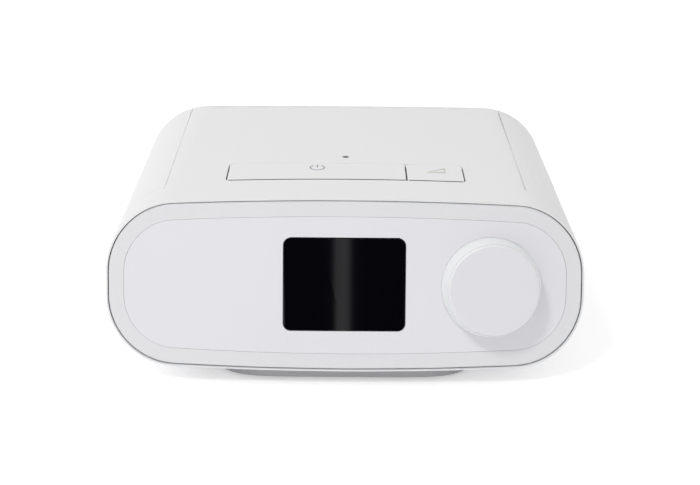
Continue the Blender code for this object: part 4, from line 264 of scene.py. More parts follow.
# Lower case.
# The shell under the parting line, injection-moulded in a white that is a shade cooler than the
# top's. Its lip shows below the front panel, and its floor takes the screws and the feet.
def moulded(name, colour, roughness, grain, depth, spread=0.012, slot=None):
    """Injection-moulded plastic: an even spark-eroded grain, with faint clouds where it cooled."""
    finish = Finish(name, slot)
    fine, cloud = finish.noise(grain, 3.0), finish.noise(0.035, 2.0)
    finish.set(
        Base_Color=finish.tint(cloud * 0.7 + fine * 0.3, colour, spread),
        Roughness=roughness - 0.06 + fine * 0.07 + cloud * 0.05,
        Normal=finish.relief(fine, depth, 0.35),
    )
    return finish


SIDE = 0.0965
FACE_BOW = 0.0024
FACE_LEAN = math.radians(13.5)
FACE_Y, FACE_Z = -0.064936, 0.04078
FACE = Matrix.Translation((0, FACE_Y, FACE_Z)) @ Matrix.Rotation(math.radians(90) - FACE_LEAN, 4, "X")
FACE_HALF_HEIGHT, FACE_CORNER, FACE_CROWN = 0.0320, 0.0272, 0.00305
FACE_OUTLINE = (FACE_HALF_HEIGHT, FACE_CORNER, FACE_CROWN)
REAR_Y, REAR_Z = 0.074764, 0.0448
REAR_HALF_HEIGHT, REAR_CORNER, REAR_CROWN = 0.0377, 0.0300, 0.0006
REAR_OUTLINE = (REAR_HALF_HEIGHT, REAR_CORNER, REAR_CROWN)
FRONT_EDGE, REAR_EDGE, REAR_ROUND = 0.0004, 0.001, 0.0003
PANEL_JOINT, PANEL_DEPTH = (0.0008, 0.0012), 0.006
OVERLAY_JOINT, OVERLAY_DEPTH = (0.0073, 0.0076), 0.002
CORNER_CUTS, CROWN_CUTS, FACE_CUTS = 90, 31, 80


def on_face(x, up):
    return FACE @ Vector((x, up, -FACE_BOW * (x / SIDE) ** 2))


def on_rear(x, up):
    return Vector((x, REAR_Y, REAR_Z + up))


def housing_ring(mesh, inset, back, half_height, corner, crown, place):
    """One outline of the housing: a rounded rectangle with swelling long edges, put in its place."""
    ring = bmesh.new()
    bmesh.ops.create_grid(ring, x_segments=1, y_segments=1, size=1)
    bmesh.ops.scale(ring, vec=(SIDE - inset, half_height - inset, 1), verts=ring.verts)
    bevel = {"segments": CORNER_CUTS, "profile": 0.5, "affect": "VERTICES", "material": -1}
    bmesh.ops.bevel(ring, geom=ring.verts[:], offset=corner - inset, **bevel)
    bmesh.ops.delete(ring, geom=ring.faces[:], context="FACES_ONLY")
    long_edges = [edge for edge in ring.edges if edge.calc_length() > SIDE]
    bmesh.ops.subdivide_edges(ring, edges=long_edges, cuts=CROWN_CUTS)
    for vert in ring.verts:
        x, up = vert.co.x, vert.co.y
        up += math.copysign(crown * (1 - (x / (SIDE - inset)) ** 2), up)
        vert.co = place(x, up) + Vector((0, back, 0))
    made = [mesh.verts.new(vert.co) for vert in ring.verts]
    ring.verts.index_update()
    edges = [mesh.edges.new([made[vert.index] for vert in edge.verts]) for edge in ring.edges]
    ring.free()
    return edges


def housing_skin():
    """The smooth outer skin and the front panel's joints, as a surface to be rounded to."""
    mesh = bmesh.new()
    outer = [
        housing_ring(mesh, FRONT_EDGE, 0, *FACE_OUTLINE, on_face),
        housing_ring(mesh, 0, FRONT_EDGE, *FACE_OUTLINE, on_face),
        housing_ring(mesh, 0, -REAR_EDGE, *REAR_OUTLINE, on_rear),
        housing_ring(mesh, REAR_ROUND, -REAR_ROUND, *REAR_OUTLINE, on_rear),
        housing_ring(mesh, REAR_EDGE, 0, *REAR_OUTLINE, on_rear),
    ]
    for near, far in zip(outer, outer[1:]):
        bmesh.ops.bridge_loops(mesh, edges=near + far)
    for insets, depth in ((PANEL_JOINT, PANEL_DEPTH), (OVERLAY_JOINT, OVERLAY_DEPTH)):
        for inset in insets:
            near = housing_ring(mesh, inset, 0, *FACE_OUTLINE, on_face)
            far = housing_ring(mesh, inset, depth, *FACE_OUTLINE, on_face)
            bmesh.ops.bridge_loops(mesh, edges=near + far)
    tree = BVHTree.FromBMesh(mesh)
    mesh.free()
    return tree


def face_sheet():
    """The bowed sheet that the front panel and its overlay lie in."""
    mesh = bmesh.new()
    bmesh.ops.create_grid(mesh, x_segments=FACE_CUTS, y_segments=2, size=SIDE)
    for vert in mesh.verts:
        vert.co = on_face(vert.co.x, vert.co.y)
    mesh.normal_update()
    tree = BVHTree.FromBMesh(mesh)
    mesh.free()
    return tree


SURFACES = (housing_skin(), face_sheet())
SKIN_REACH = 0.00027
ON_SKIN = 0.00003
ALONG_SKIN = 0.97
TRUE_ENOUGH = 0.000012
SPLITS = 4
TINY = 0.00001
FLAT_ANGLE = math.radians(0.1)
PROBE_STEP = 0.0002
ALONG_AT_SLIVERS = 0.3
SLIVER_AREA = 2e-8


def lies_along(surface, point, faces):
    """Where a point of these faces belongs on a surface, and how far off it is, if a face lies along it."""
    place, normal, _, far = surface.find_nearest(point, SKIN_REACH)
    if place and any(abs(face.normal.dot(normal)) > ALONG_SKIN for face in faces):
        return place, far
    return None


def rounded(node, move=None):
    """A CAD copy whose flat strips are split and moved out to the housing's true curves."""
    mesh = bmesh.new()
    mesh.from_mesh(frame["nodes"][node].data)
    bmesh.ops.remove_doubles(mesh, verts=mesh.verts, dist=MERGE_REACH)
    bmesh.ops.dissolve_limit(mesh, angle_limit=FLAT_ANGLE, verts=mesh.verts, edges=mesh.edges)
    bmesh.ops.triangulate(mesh, faces=mesh.faces, quad_method="BEAUTY", ngon_method="BEAUTY")
    if move:
        for vert in mesh.verts:
            vert.co = move(vert.co.copy())
    for surface in SURFACES:
        mesh.normal_update()
        belongs = {vert: lies_along(surface, vert.co, vert.link_faces) for vert in mesh.verts}
        settled = {vert: found[0] for vert, found in belongs.items() if found}
        for vert, place in settled.items():
            vert.co = place
        for _ in range(SPLITS):
            flat = []
            for edge in mesh.edges:
                start, end = edge.verts
                if start in settled and end in settled:
                    found = lies_along(surface, (start.co + end.co) / 2, edge.link_faces)
                    if found and found[1] > TRUE_ENOUGH:
                        flat.append(edge)
            if not flat:
                break
            before = set(mesh.verts)
            bmesh.ops.subdivide_edges(mesh, edges=flat, cuts=1)
            for vert in set(mesh.verts) - before:
                settled[vert] = vert.co = surface.find_nearest(vert.co, SKIN_REACH)[0] or vert.co
            bmesh.ops.triangulate(mesh, faces=[face for face in mesh.faces if len(face.verts) > 3])
            mesh.normal_update()
    bmesh.ops.dissolve_degenerate(mesh, dist=TINY, edges=mesh.edges)
    bmesh.ops.triangulate(mesh, faces=[face for face in mesh.faces if len(face.verts) > 3])
    return mesh


def ease(mesh, edge):
    """Rounds off a bmesh's sharp edges by edge metres."""
    sharp = [one for one in mesh.edges if one.calc_face_angle(0) > math.radians(SHARP_DEGREES)]
    rounding = {"segments": EDGE_STEPS, "profile": 0.5, "affect": "EDGES", "material": -1}
    bmesh.ops.bevel(mesh, geom=sharp, offset=edge, clamp_overlap=False, **rounding)
    return mesh


def follow_skin(piece):
    """Shades the outer skin and the bowed face as the smooth surfaces that they are."""
    data = piece.data
    normals = [(0, 0, 0)] * len(data.loops)
    for face in data.polygons:
        for surface in SURFACES:
            _, normal, _, far = surface.find_nearest(face.center, SKIN_REACH)
            if normal is None or far > 2 * ON_SKIN:
                continue
            close = all(surface.find_nearest(data.vertices[index].co, ON_SKIN)[0] for index in face.vertices)
            least = (0 if face.area < SLIVER_AREA else ALONG_AT_SLIVERS) if close else ALONG_SKIN
            if abs(face.normal.dot(normal)) < least:
                continue
            way = math.copysign(1, face.normal.dot(normal))
            for loop in face.loop_indices:
                corner = data.vertices[data.loops[loop].vertex_index].co
                inward = face.center - corner
                near = corner + inward * min(1, PROBE_STEP / max(inward.length, TINY))
                _, normal, _, _ = surface.find_nearest(near, SKIN_REACH)
                if normal and way * normal.dot(face.normal) > least:
                    normals[loop] = way * normal
            break
    data.normals_split_custom_set(normals)


def put_skin(mesh, finish, node, angle=50):
    """Puts a mesh that lies along the housing's skin in its CAD node's place."""
    piece = add(mesh, f"{node}_surface", finish, BODY_OF[node], angle=angle)
    follow_skin(piece)
    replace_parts(piece, node)


def refine_shell(finish, node, angle=50, move=None):
    """A housing piece with a smooth skin; move says where a point goes before it is rounded."""
    put_skin(rounded(node, move), finish, node, angle)


WHITE_COOL = (0.80, 0.80, 0.82)
white_panel = moulded("white_panel", WHITE_COOL, roughness=0.38, grain=0.0003, depth=0.00001)
refine_shell(white_panel, "lower_case")


# Foot plate.
# The underside stands proud in a flat plate that carries the feet. Its front edge is a slow curve
# that runs out under the lip of the case.
PLATE_HALF, PLATE_FRONT, PLATE_REAR = 0.0514, -0.0664, -0.0500
PLATE_LOW, PLATE_HIGH, PLATE_EDGE = 0.0013, 0.0078, 0.0004
PLATE_SWEEP, PLATE_SQUARENESS, PLATE_CUTS = 0.0098, 7, 48
PLATE_GREY_AND_SHADE = (0.42, 0.42, 0.43)
plate = bmesh.new()
bmesh.ops.create_grid(plate, x_segments=PLATE_CUTS, y_segments=1, size=PLATE_HALF)
for vert in plate.verts:
    swept = PLATE_FRONT + PLATE_SWEEP * (abs(vert.co.x) / PLATE_HALF) ** PLATE_SQUARENESS
    vert.co.y = swept if vert.co.y < 0 else PLATE_REAR
    vert.co.z = PLATE_LOW
top = bmesh.ops.extrude_face_region(plate, geom=plate.faces[:])["geom"]
top_points = [item for item in top if isinstance(item, bmesh.types.BMVert)]
bmesh.ops.translate(plate, vec=(0, 0, PLATE_HIGH - PLATE_LOW), verts=top_points)
bmesh.ops.recalc_face_normals(plate, faces=plate.faces)
# The plate's mid grey is partly its own grey and partly painted shade, for the dark strip under the lip of
# the case.
foot_plate_grey_and_shade = moulded("rear_grey", PLATE_GREY_AND_SHADE, roughness=0.5, grain=0.0004, depth=0.00002)
add(ease(plate, PLATE_EDGE), "foot_plate_front", foot_plate_grey_and_shade, "housing", angle=50)


# Case screws.
# Four long self-tapping screws of zinc-plated steel, driven up through the lower case into the
# posts of the upper one. The thread-rolling and the plating leave fine rings and a mottled grey.
ZINC_GREY = (0.42, 0.42, 0.43)


def plated(name, colour, roughness, slot=None, ring=0.0004):
    finish = Finish(name, slot, Metallic=1.0)
    mottle, rings = finish.noise(0.002, 4.0), finish.noise(ring, 2.0, stretch=(0.15, 0.15, 1))
    finish.set(
        Base_Color=finish.tint(mottle, colour, 0.10),
        Roughness=roughness - 0.06 + mottle * 0.12,
        Normal=finish.relief(rings, 0.00002, 0.4),
    )
    return finish


zinc = plated("screw_zinc", ZINC_GREY, 0.34)
refine(zinc, "case_screw_1", "case_screw_2", "case_screw_3", "case_screw_4", edge=0.0001)


# Power board.
# A green glass-fibre board on posts at the left, with two electrolytic cans, a choke wound on a
# ring, the power jack and the connector for a heated hose. Copper tracks run under the mask.
MASK_GREEN, TRACK_GREEN, PAD_GOLD = (0.012, 0.085, 0.032), (0.03, 0.16, 0.06), (0.72, 0.50, 0.20)


def board_finish(name, turned=(0, 0, 0)):
    """Green glass fibre with rows of tracks under the mask and gold pads on it."""
    finish = Finish(name, "circuit_board", Coat_Weight=0.25, Coat_Roughness=0.12)
    flat = finish.node("Mapping", Vector=finish.place, Rotation=turned)
    bricks = {"offset": 0.37, "offset_frequency": 3, "squash": 0.7, "squash_frequency": 4}
    sizes = {"Scale": 1.0, "Brick_Width": 0.0071, "Row_Height": 0.0013, "Mortar_Size": 0.00022}
    track = finish.node("TexBrick", bricks, 1, Vector=flat, **sizes)
    pad = finish.cells(0.0042) < 0.11
    finish.set(
        Base_Color=finish.mix(pad, finish.mix(track, MASK_GREEN, TRACK_GREEN), PAD_GOLD),
        Metallic=pad,
        Roughness=0.42 + finish.noise(0.004) * 0.12 - pad * 0.15,
        Normal=finish.relief(track + pad * 2, 0.00004, 0.6),
    )
    return finish


board = board_finish("circuit_board")
dress(board, "power_board")

CAN_BLUE, CAN_STRIPE, CAN_LID = (0.04, 0.05, 0.12), (0.45, 0.47, 0.52), (0.62, 0.63, 0.64)
CAN_STRIPE_WIDTH, CAN_LID_DEPTH = 0.0013, 0.0004
can_low, can_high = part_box("capacitor_1")
can = Finish("capacitor_can", Specular_IOR_Level=0.5)
can_top = can.along(2) > can_high.z - CAN_LID_DEPTH
sleeve_colour = can.mix(can.along(0) < can_low.x + CAN_STRIPE_WIDTH, CAN_BLUE, CAN_STRIPE)
can.set(
    Base_Color=can.mix(can_top, sleeve_colour, CAN_LID),
    Metallic=can_top,
    Roughness=0.30 + can.noise(0.003, 3.0) * 0.12,
    Normal=can.relief(can.noise(0.0006, 3.0), 0.00002, 0.4),
)
refine(can, "capacitor_1", "capacitor_2", edge=0.0004)

COPPER = (0.52, 0.18, 0.07)
CHOKE_TURNS, STATOR_TURNS = 64, 72


def wound(name, centre, turns):
    """Enamelled copper wire laid side by side round a ring whose axis is upright."""
    finish = Finish(name, "copper_winding", Metallic=1.0, Coat_Weight=0.4, Coat_Roughness=0.15)
    wire = finish.stripes(finish.around(*centre), turns)
    finish.set(
        Base_Color=finish.tint(wire * 0.7 + finish.noise(0.003) * 0.3, COPPER, 0.35),
        Roughness=0.30 + finish.noise(0.002) * 0.12,
        Normal=finish.relief(wire, 0.0003, 0.8),
    )
    return finish


def middle(node):
    """Where a node's upright axis stands."""
    low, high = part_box(node)
    return ((low.x + high.x) / 2, (low.y + high.y) / 2)


refine(wound("copper_winding", middle("choke_coil"), CHOKE_TURNS), "choke_coil", edge=0.0005)

DARK_GREY = (0.03, 0.03, 0.035)
dark_plastic = moulded("dark_plastic", DARK_GREY, roughness=0.45, grain=0.0004, depth=0.00004, spread=0.12)
refine(dark_plastic, "dc_power_jack", "heater_connector")


# Main board.
# The long board across the parting line carries the processor, the sounder and the card socket,
# a bent shell of stamped steel. Two flat cables leave it for the display and the buttons.
dress(board, "main_board")
EPOXY_BLACK = (0.022, 0.022, 0.024)
epoxy = {"roughness": 0.55, "grain": 0.0002, "depth": 0.00003, "spread": 0.1, "slot": "dark_plastic"}
chip = moulded("processor_epoxy", EPOXY_BLACK, **epoxy)
refine(chip, "processor_chip", edge=0.0002)
refine(dark_plastic, "sounder", edge=0.0003)

BRIGHT_STEEL = (0.62, 0.61, 0.58)
socket_steel = Finish("socket_steel", Metallic=1.0)
brushed = socket_steel.noise(0.0006, 3.0, stretch=(0.04, 1, 1))
socket_steel.set(
    Base_Color=socket_steel.tint(brushed, BRIGHT_STEEL, 0.08),
    Roughness=0.24 + brushed * 0.16,
    Normal=socket_steel.relief(brushed, 0.00001, 0.4),
)
refine(socket_steel, "sd_socket", edge=0.0001)

CONDUCTOR_PITCH = 0.00127
RIBBON_PALE, RIBBON_GREY = (0.44, 0.45, 0.47), (0.30, 0.31, 0.34)
ribbon = Finish("ribbon_cable")
conductor = ribbon.stripes(ribbon.along(0), 1 / CONDUCTOR_PITCH) > 0.42
ribbon.set(
    Base_Color=ribbon.mix(conductor, RIBBON_PALE, RIBBON_GREY),
    Roughness=0.38 + ribbon.noise(0.004, 3.0) * 0.14,
    Normal=ribbon.relief(conductor, 0.00006, 0.6),
)
dress(ribbon, "display_ribbon", "button_ribbon")


# Memory card.
# A standard card of dark blue plastic in its socket behind the right door. Its label is a plain
# pale sticker, left bare.
CARD_BLUE, LABEL_PALE = (0.05, 0.16, 0.36), (0.7, 0.71, 0.72)
LABEL_BORDERS = ((0, 0.0045, 0.0022), (1, 0.0022, 0.0022))
LABEL_DEPTH = 0.0002
card_low, card_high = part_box("sd_card")
card = Finish("card_label")
label = 1.0
for axis, border_low, border_high in LABEL_BORDERS:
    label = label * (card.along(axis) > card_low[axis] + border_low)
    label = label * (card.along(axis) < card_high[axis] - border_high)
label = label * (card.along(2) > card_high.z - LABEL_DEPTH)
speck = card.noise(0.0004, 3.0)
card.set(
    Base_Color=card.mix(label, card.tint(speck, CARD_BLUE, 0.1), card.tint(speck, LABEL_PALE, 0.04)),
    Roughness=0.36 + label * 0.2 + speck * 0.06,
    Normal=card.relief(label * 4 + speck, 0.00002, 0.5),
)
refine(card, "sd_card", edge=0.0002)


# Blower.
# Two halves of a dark volute hang in a rubber boot. Inside, a shrouded impeller turns on a ground
# steel shaft with a ring magnet, within the stator's windings and the motor's pressed housing.
refine(dark_plastic, "blower_base", "blower_cover", edge=0.0002)

DUCT_GREY = (0.42, 0.43, 0.45)
duct_plastic = moulded("duct_plastic", DUCT_GREY, roughness=0.50, grain=0.0004, depth=0.00004, spread=0.04)
refine(duct_plastic, "impeller", edge=0.0001)

SHAFT_STEEL, MAGNET_GREY = (0.56, 0.56, 0.57), (0.08, 0.08, 0.09)
steel = plated("steel", SHAFT_STEEL, 0.26, ring=0.00025)
refine(steel, "motor_shaft", "dial_shaft", edge=0.0002)

magnet = Finish("magnet", Metallic=0.6)
sinter = magnet.cells(0.0004)
magnet.set(
    Base_Color=magnet.tint(sinter, MAGNET_GREY, 0.3),
    Roughness=0.45 + sinter * 0.2,
    Normal=magnet.relief(sinter, 0.00003, 0.5),
)
refine(magnet, "rotor_magnet", edge=0.0003)
refine(wound("stator_winding", middle("motor_stator"), STATOR_TURNS), "motor_stator", edge=0.0003)
refine(plated("motor_zinc", ZINC_GREY, 0.38, "screw_zinc"), "motor_housing", edge=0.0003)

STRAND_PITCH, LEAD_BLACK = 0.0015, (0.03, 0.03, 0.03)
lead = Finish("motor_lead")
strand = lead.stripes(lead.along(0), 1 / STRAND_PITCH)
lead.set(
    Base_Color=lead.tint(lead.noise(0.002), LEAD_BLACK, 0.3),
    Roughness=0.5 + strand * 0.15,
    Normal=lead.relief(strand, 0.0003, 0.8),
)
refine(lead, "motor_lead", edge=0.0004)


# Sound foam.
# Two cut blocks of open-celled charcoal foam fill the space round and over the blower. The air
# passes through the channel in the upper one.
PORE_BLACK, FOAM_GREY = (0.02, 0.02, 0.022), (0.085, 0.085, 0.092)
foam = Finish("sound_foam", Specular_IOR_Level=0.2)
pore, tuft = foam.cells(0.0011), foam.noise(0.004, 4.0)
foam.set(
    Base_Color=foam.mix(pore * 1.4, PORE_BLACK, FOAM_GREY),
    Roughness=0.88 + tuft * 0.1,
    Normal=foam.relief(pore + tuft * 0.6, 0.0007, 0.9),
)
refine(foam, "sound_foam_lower", "sound_foam_upper", edge=0.0006)


# Inlet duct and filters.
# Behind the right door a blue-grey fleece catches pollen, and a white electrostatic sheet behind
# it the fine dust. They sit in the mouth of the duct that leads to the foam.
refine(duct_plastic, "filter_duct", edge=0.0003)

FLEECE_DEEP, FLEECE_PALE = (0.30, 0.33, 0.40), (0.72, 0.75, 0.80)
fleece = Finish("pollen_fleece", Specular_IOR_Level=0.2)
fibre = fleece.noise(0.0005, 4.0, stretch=(1, 0.35, 1), roughness=0.7)
hole = fleece.cells(0.0013)
fleece.set(
    Base_Color=fleece.mix(fibre * hole * 3.2, FLEECE_DEEP, FLEECE_PALE),
    Roughness=0.85 + fibre * 0.1,
    Normal=fleece.relief(fibre + hole, 0.0006, 0.8),
)
refine(fleece, "pollen_filter", edge=0.0008)

PAPER_WHITE = (0.80, 0.80, 0.78)
paper = Finish("fine_filter_paper", Specular_IOR_Level=0.3)
thread = paper.noise(0.0003, 4.0, stretch=(1, 1, 0.3), roughness=0.7)
paper.set(
    Base_Color=paper.tint(thread, PAPER_WHITE, 0.07),
    Roughness=0.86 + thread * 0.08,
    Normal=paper.relief(thread, 0.0001, 0.7),
)
refine(paper, "fine_filter", edge=0.0003)

SENSOR_BLACK = (0.02, 0.02, 0.025)
sensor_look = {"roughness": 0.3, "grain": 0.0003, "depth": 0.00002, "spread": 0.1, "slot": "sensor_window"}
refine(moulded("sensor_plastic", SENSOR_BLACK, **sensor_look), "flow_sensor")


# Air outlet.
# A cloudy silicone sleeve carries the air from the blower to the grey port, whose cone takes
# the 22 mm cuff of the hose.
SILICONE_CLOUDY, PORT_GREY = (0.55, 0.58, 0.62), (0.62, 0.63, 0.65)
sleeve = Finish("sleeve_silicone", Specular_IOR_Level=0.4, Coat_Weight=0.2, Coat_Roughness=0.3)
cloudy = sleeve.noise(0.008, 3.0)
sleeve.set(
    Base_Color=sleeve.tint(cloudy, SILICONE_CLOUDY, 0.06),
    Roughness=0.42 + cloudy * 0.12,
    Normal=sleeve.relief(sleeve.noise(0.0005), 0.00002, 0.4),
)
refine(sleeve, "outlet_sleeve", edge=0.0003)
port_plastic = moulded("port_grey", PORT_GREY, roughness=0.42, grain=0.0004, depth=0.00002, spread=0.02)
refine(port_plastic, "outlet_port", edge=0.0002)


# Rear panel.
# The grey panel that closes the back, moulded with the round well of the air port, the openings
# of the sockets and the two slots of its latches.
REAR_GREY = (0.55, 0.56, 0.58)
rear_grey = moulded("rear_grey", REAR_GREY, roughness=0.48, grain=0.0004, depth=0.00004, spread=0.02)
refine_shell(rear_grey, "rear_panel", angle=20)


# Accessory bay.
# Behind the left cover a grey tray takes an accessory's plug-in module, with its connector in the
# front wall. The cover is moulded in the top's white and pulls off sideways.
refine(duct_plastic, "accessory_bay", edge=0.0002)
refine(dark_plastic, "accessory_connector", edge=0.0001)

WHITE_WARM = (0.81, 0.81, 0.81)
white_case = moulded("white_case", WHITE_WARM, roughness=0.42, grain=0.0003, depth=0.00002)
COVER_EDGE, COVER_NEARER = -0.0768, 0.00014


def reach_seam(place):
    """The cover's upper edge stands close to the case, so that its seam is a fine line."""
    if place.x > COVER_EDGE:
        place.x += COVER_NEARER
    return place


refine_shell(white_case, "accessory_cover", move=reach_seam)


# Front panel.
# A bowed white panel closes the front, with a matt silver-white overlay set into it. The overlay
# is back-printed film on a moulded core: its pale colour has a faint cool cast.
PANEL_WHITE, OVERLAY_SILVER = (0.775, 0.775, 0.79), (0.80, 0.79, 0.83)
DIAL_PLACE = Vector((0.0587, -0.00035, 0))
DIAL_HOLE, DIAL_HOLE_TIGHT = 0.02060, 0.02020
WINDOW_SIDE, WINDOW_END, WINDOW_BAND = 0.0248, 0.0186, 0.0035
WINDOW_TRIM, WINDOW_REACH = 0.0007, 0.0006
OVERLAY_ACROSS, OVERLAY_UP = 0.00018, 0.00022


def trimmed(place):
    """The display's right edge stands a little further in than the CAD piece has it."""
    beside = WINDOW_SIDE - WINDOW_BAND < place.x < WINDOW_SIDE + WINDOW_REACH
    if beside and abs(place.y) < WINDOW_END + WINDOW_REACH:
        place.x -= WINDOW_TRIM
    return place


def fitted(node, finish, across=0.0, up=0.0):
    """A piece of the front, widened by across and up metres and drawn close round the dial."""
    to_face = FACE.inverted()

    def tighten(point):
        place = to_face @ point
        spoke = Vector((place.x - DIAL_PLACE.x, place.y - DIAL_PLACE.y, 0))
        if abs(spoke.length - DIAL_HOLE) < DIAL_HOLE - DIAL_HOLE_TIGHT:
            place -= spoke.normalized() * (spoke.length - DIAL_HOLE_TIGHT)
        elif abs(place.x) > WINDOW_SIDE + WINDOW_REACH:
            place.x *= 1 + across / SIDE
            place.y *= 1 + up / FACE_HALF_HEIGHT
        else:
            place = trimmed(place)
            if abs(place.y) > WINDOW_END + WINDOW_REACH:
                place.y *= 1 + up / FACE_HALF_HEIGHT
        return FACE @ place

    mesh = rounded(node)
    for vert in mesh.verts:
        vert.co = tighten(vert.co)
    put_skin(mesh, finish, node, SHARP_DEGREES)


overlay_look = {"roughness": 0.42, "grain": 0.0004, "depth": 0.00001, "spread": 0.01}
overlay_film = moulded("cool_white_overlay", OVERLAY_SILVER, **overlay_look)
panel_white = moulded("white_panel", PANEL_WHITE, roughness=0.38, grain=0.0003, depth=0.00001)
fitted("front_panel", panel_white)
fitted("front_overlay", overlay_film, OVERLAY_ACROSS, OVERLAY_UP)


# Display.
# Black glass over a colour display that is off, with the module and its board behind it. The
# glass is coated against glare and a little wavy, so it shows soft bands of the room.
GLASS_BLACK, LENS_EDGE = (0.0016, 0.0016, 0.0032), 0.0003
glass = Finish("display_black", Base_Color=GLASS_BLACK, Specular_IOR_Level=0.36)
glass.set(
    Roughness=0.034 + glass.noise(0.012, 4.0) * 0.012,
    Normal=glass.relief(glass.noise(0.02, 1.0), 0.00001, 0.2),
)
cover_glass = bmesh.new()
cover_glass.from_mesh(frame["nodes"]["display_lens"].data)
bmesh.ops.remove_doubles(cover_glass, verts=cover_glass.verts, dist=MERGE_REACH)
for vert in cover_glass.verts:
    vert.co = FACE @ trimmed(FACE.inverted() @ vert.co)
pane = add(cover_glass, "display_lens_surface", glass, BODY_OF["display_lens"], edge=LENS_EDGE)
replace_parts(pane, "display_lens")
refine(dark_plastic, "display_module")
dress(board_finish("display_board_mask", (math.radians(-90), 0, 0)), "display_board")


# Control dial.
# A satin-white knob with a coned flank stands in a round hole. It sits on a steel shaft that
# turns the encoder, and its plunger lets it be pressed.
DIAL_WHITE, PAINTED_FLANK_LIGHT = (0.775, 0.765, 0.80), (0.86, 0.88, 0.875)
DIAL_AXIS = FACE @ Matrix.Translation(DIAL_PLACE)
FACE_FACING = 0.8
dial_look = {"roughness": 0.42, "grain": 0.0003, "depth": 0.00001, "spread": 0.01}
dial_white = moulded("dial_white", DIAL_WHITE, **dial_look)
# The flank and the rim are painted a lighter white than the face: painted light on the knob's sloping sides.
dial_white.shade(dial_white.facing(DIAL_AXIS.col[2].xyz) < FACE_FACING, PAINTED_FLANK_LIGHT)

DIAL_TOP, DIAL_BASE, DIAL_CROWN = 0.01184, -0.00239, 0.00012
CROWN_MIDDLE, CROWN_OUTER = (0.006, 0.12), (0.012, 0.5)
DIAL_FACE_RADIUS, DIAL_RIM, RIM_STEPS, RIM_STEP = 0.01765, 0.0003, 8, 10
DIAL_SHOULDER = (0.0188, 0.0068)
DIAL_FLANK, FLANK_FOOT, DIAL_WALL = 0.0201, 0.0002, 0.0018
DIAL_CEILING, BORE_RADIUS, BORE_END = 0.0100, 0.0034, 0.0004
dial_section = [(0, DIAL_TOP)]
for radius, share in (CROWN_MIDDLE, CROWN_OUTER):
    dial_section.append((radius, DIAL_TOP - DIAL_CROWN * share))
for step in range(RIM_STEPS):
    turn = math.radians(RIM_STEP * step)
    radius = DIAL_FACE_RADIUS - DIAL_RIM * (1 - math.sin(turn))
    dial_section.append((radius, DIAL_TOP - DIAL_CROWN - DIAL_RIM * (1 - math.cos(turn))))
dial_inside = DIAL_FLANK - DIAL_WALL
dial_section += [
    DIAL_SHOULDER, (DIAL_FLANK, FLANK_FOOT), (DIAL_FLANK, DIAL_BASE), (dial_inside, DIAL_BASE),
    (dial_inside, DIAL_CEILING), (BORE_RADIUS, DIAL_CEILING), (BORE_RADIUS, BORE_END), (0, BORE_END),
]
dial = bmesh.new()
points = [dial.verts.new((radius, 0, height)) for radius, height in dial_section]
rim = [dial.edges.new(pair) for pair in zip(points, points[1:])]
full_turn = {"axis": (0, 0, 1), "cent": (0, 0, 0), "angle": math.tau, "steps": 144, "use_merge": True}
bmesh.ops.spin(dial, geom=points + rim, **full_turn)
bmesh.ops.remove_doubles(dial, verts=dial.verts, dist=MERGE_REACH)
bmesh.ops.recalc_face_normals(dial, faces=dial.faces)
bmesh.ops.transform(dial, matrix=DIAL_AXIS, verts=dial.verts)
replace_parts(add(dial, "control_dial_surface", dial_white, "dial", angle=38), "control_dial")
refine(dark_plastic, "dial_plunger", "dial_encoder")


# Upper case.
# The white top shell, down to the parting line below the middle of the sides, with the openings
# for the buttons, the two doors and the front panel.
OPENING_HALF, OPENING_FRONT, OPENING_CORNER = 0.0503, -0.0336, 0.0020
OPENING_LOWEST, OPENING_STRETCH = 0.066, 0.0005


def stretch_opening(place):
    """The buttons' opening reaches further forward, so that the gap before them shows."""
    past = OPENING_FRONT + OPENING_CORNER - place.y
    within = place.z > OPENING_LOWEST and abs(place.x) < OPENING_HALF
    if within and 0 < past < OPENING_CORNER + OPENING_STRETCH:
        place.y -= OPENING_STRETCH * min(1, past / OPENING_CORNER)
    return place


refine_shell(white_case, "upper_case", move=stretch_opening)


# Buttons.
# Two caps near the top's front edge, each on its own switch, with symbols in slate and in sand
# ink: a power symbol and a rising wedge. A small window behind them is for the light sensor.
PAINTED_GAP_SHADE, FLANK_FACING = (0.05, 0.05, 0.055), 0.75
button_white = moulded("button_white", WHITE_WARM, roughness=0.40, grain=0.0003, depth=0.00002)
# The caps' walls that face forward, into the gap before them, are painted near black: painted shade of the
# gap.
button_white.shade(button_white.facing((0, -1, 0)) > FLANK_FACING, PAINTED_GAP_SHADE)
CAP_REAR, CAP_REAR_HEIGHT, CAP_REAR_SHIFT, CAP_EDGE = -0.0134, 0.0750, 0.00024, 0.0003


def refine_cap(node):
    """A button's cap with eased edges, whose rear edge stands close to the case."""

    def lengthen(place):
        if place.y > CAP_REAR and place.z > CAP_REAR_HEIGHT:
            place.y += CAP_REAR_SHIFT
        return place

    put_skin(ease(rounded(node, lengthen), CAP_EDGE), button_white, node)


refine_cap("power_button")
refine_cap("ramp_button")
dress(board, "button_board")
window_look = {"roughness": 0.2, "grain": 0.0005, "depth": 0.000005, "spread": 0.05}
window = moulded("sensor_window", SENSOR_BLACK, **window_look)
refine(window, "power_switch", "ramp_switch", "light_sensor_lens", edge=0.0001)

PRINT_DEPTH = 0.00004
CORNER_SHARE = 0.45
UPRIGHT = Matrix.Rotation(math.radians(90), 3, "X")


def on_cap(node, x, y):
    """A frame on a cap's outer side at x, y, with Z out of the cap and Y towards the rear."""
    cap = joined(node)
    place, normal, _, _ = BVHTree.FromBMesh(cap).ray_cast(Vector((x, y, 1)), Vector((0, 0, -1)))
    cap.free()
    rear = normal.cross(Vector((1, 0, 0))).normalized()
    return Matrix.Translation(place) @ Matrix((rear.cross(normal), rear, normal)).transposed().to_4x4()


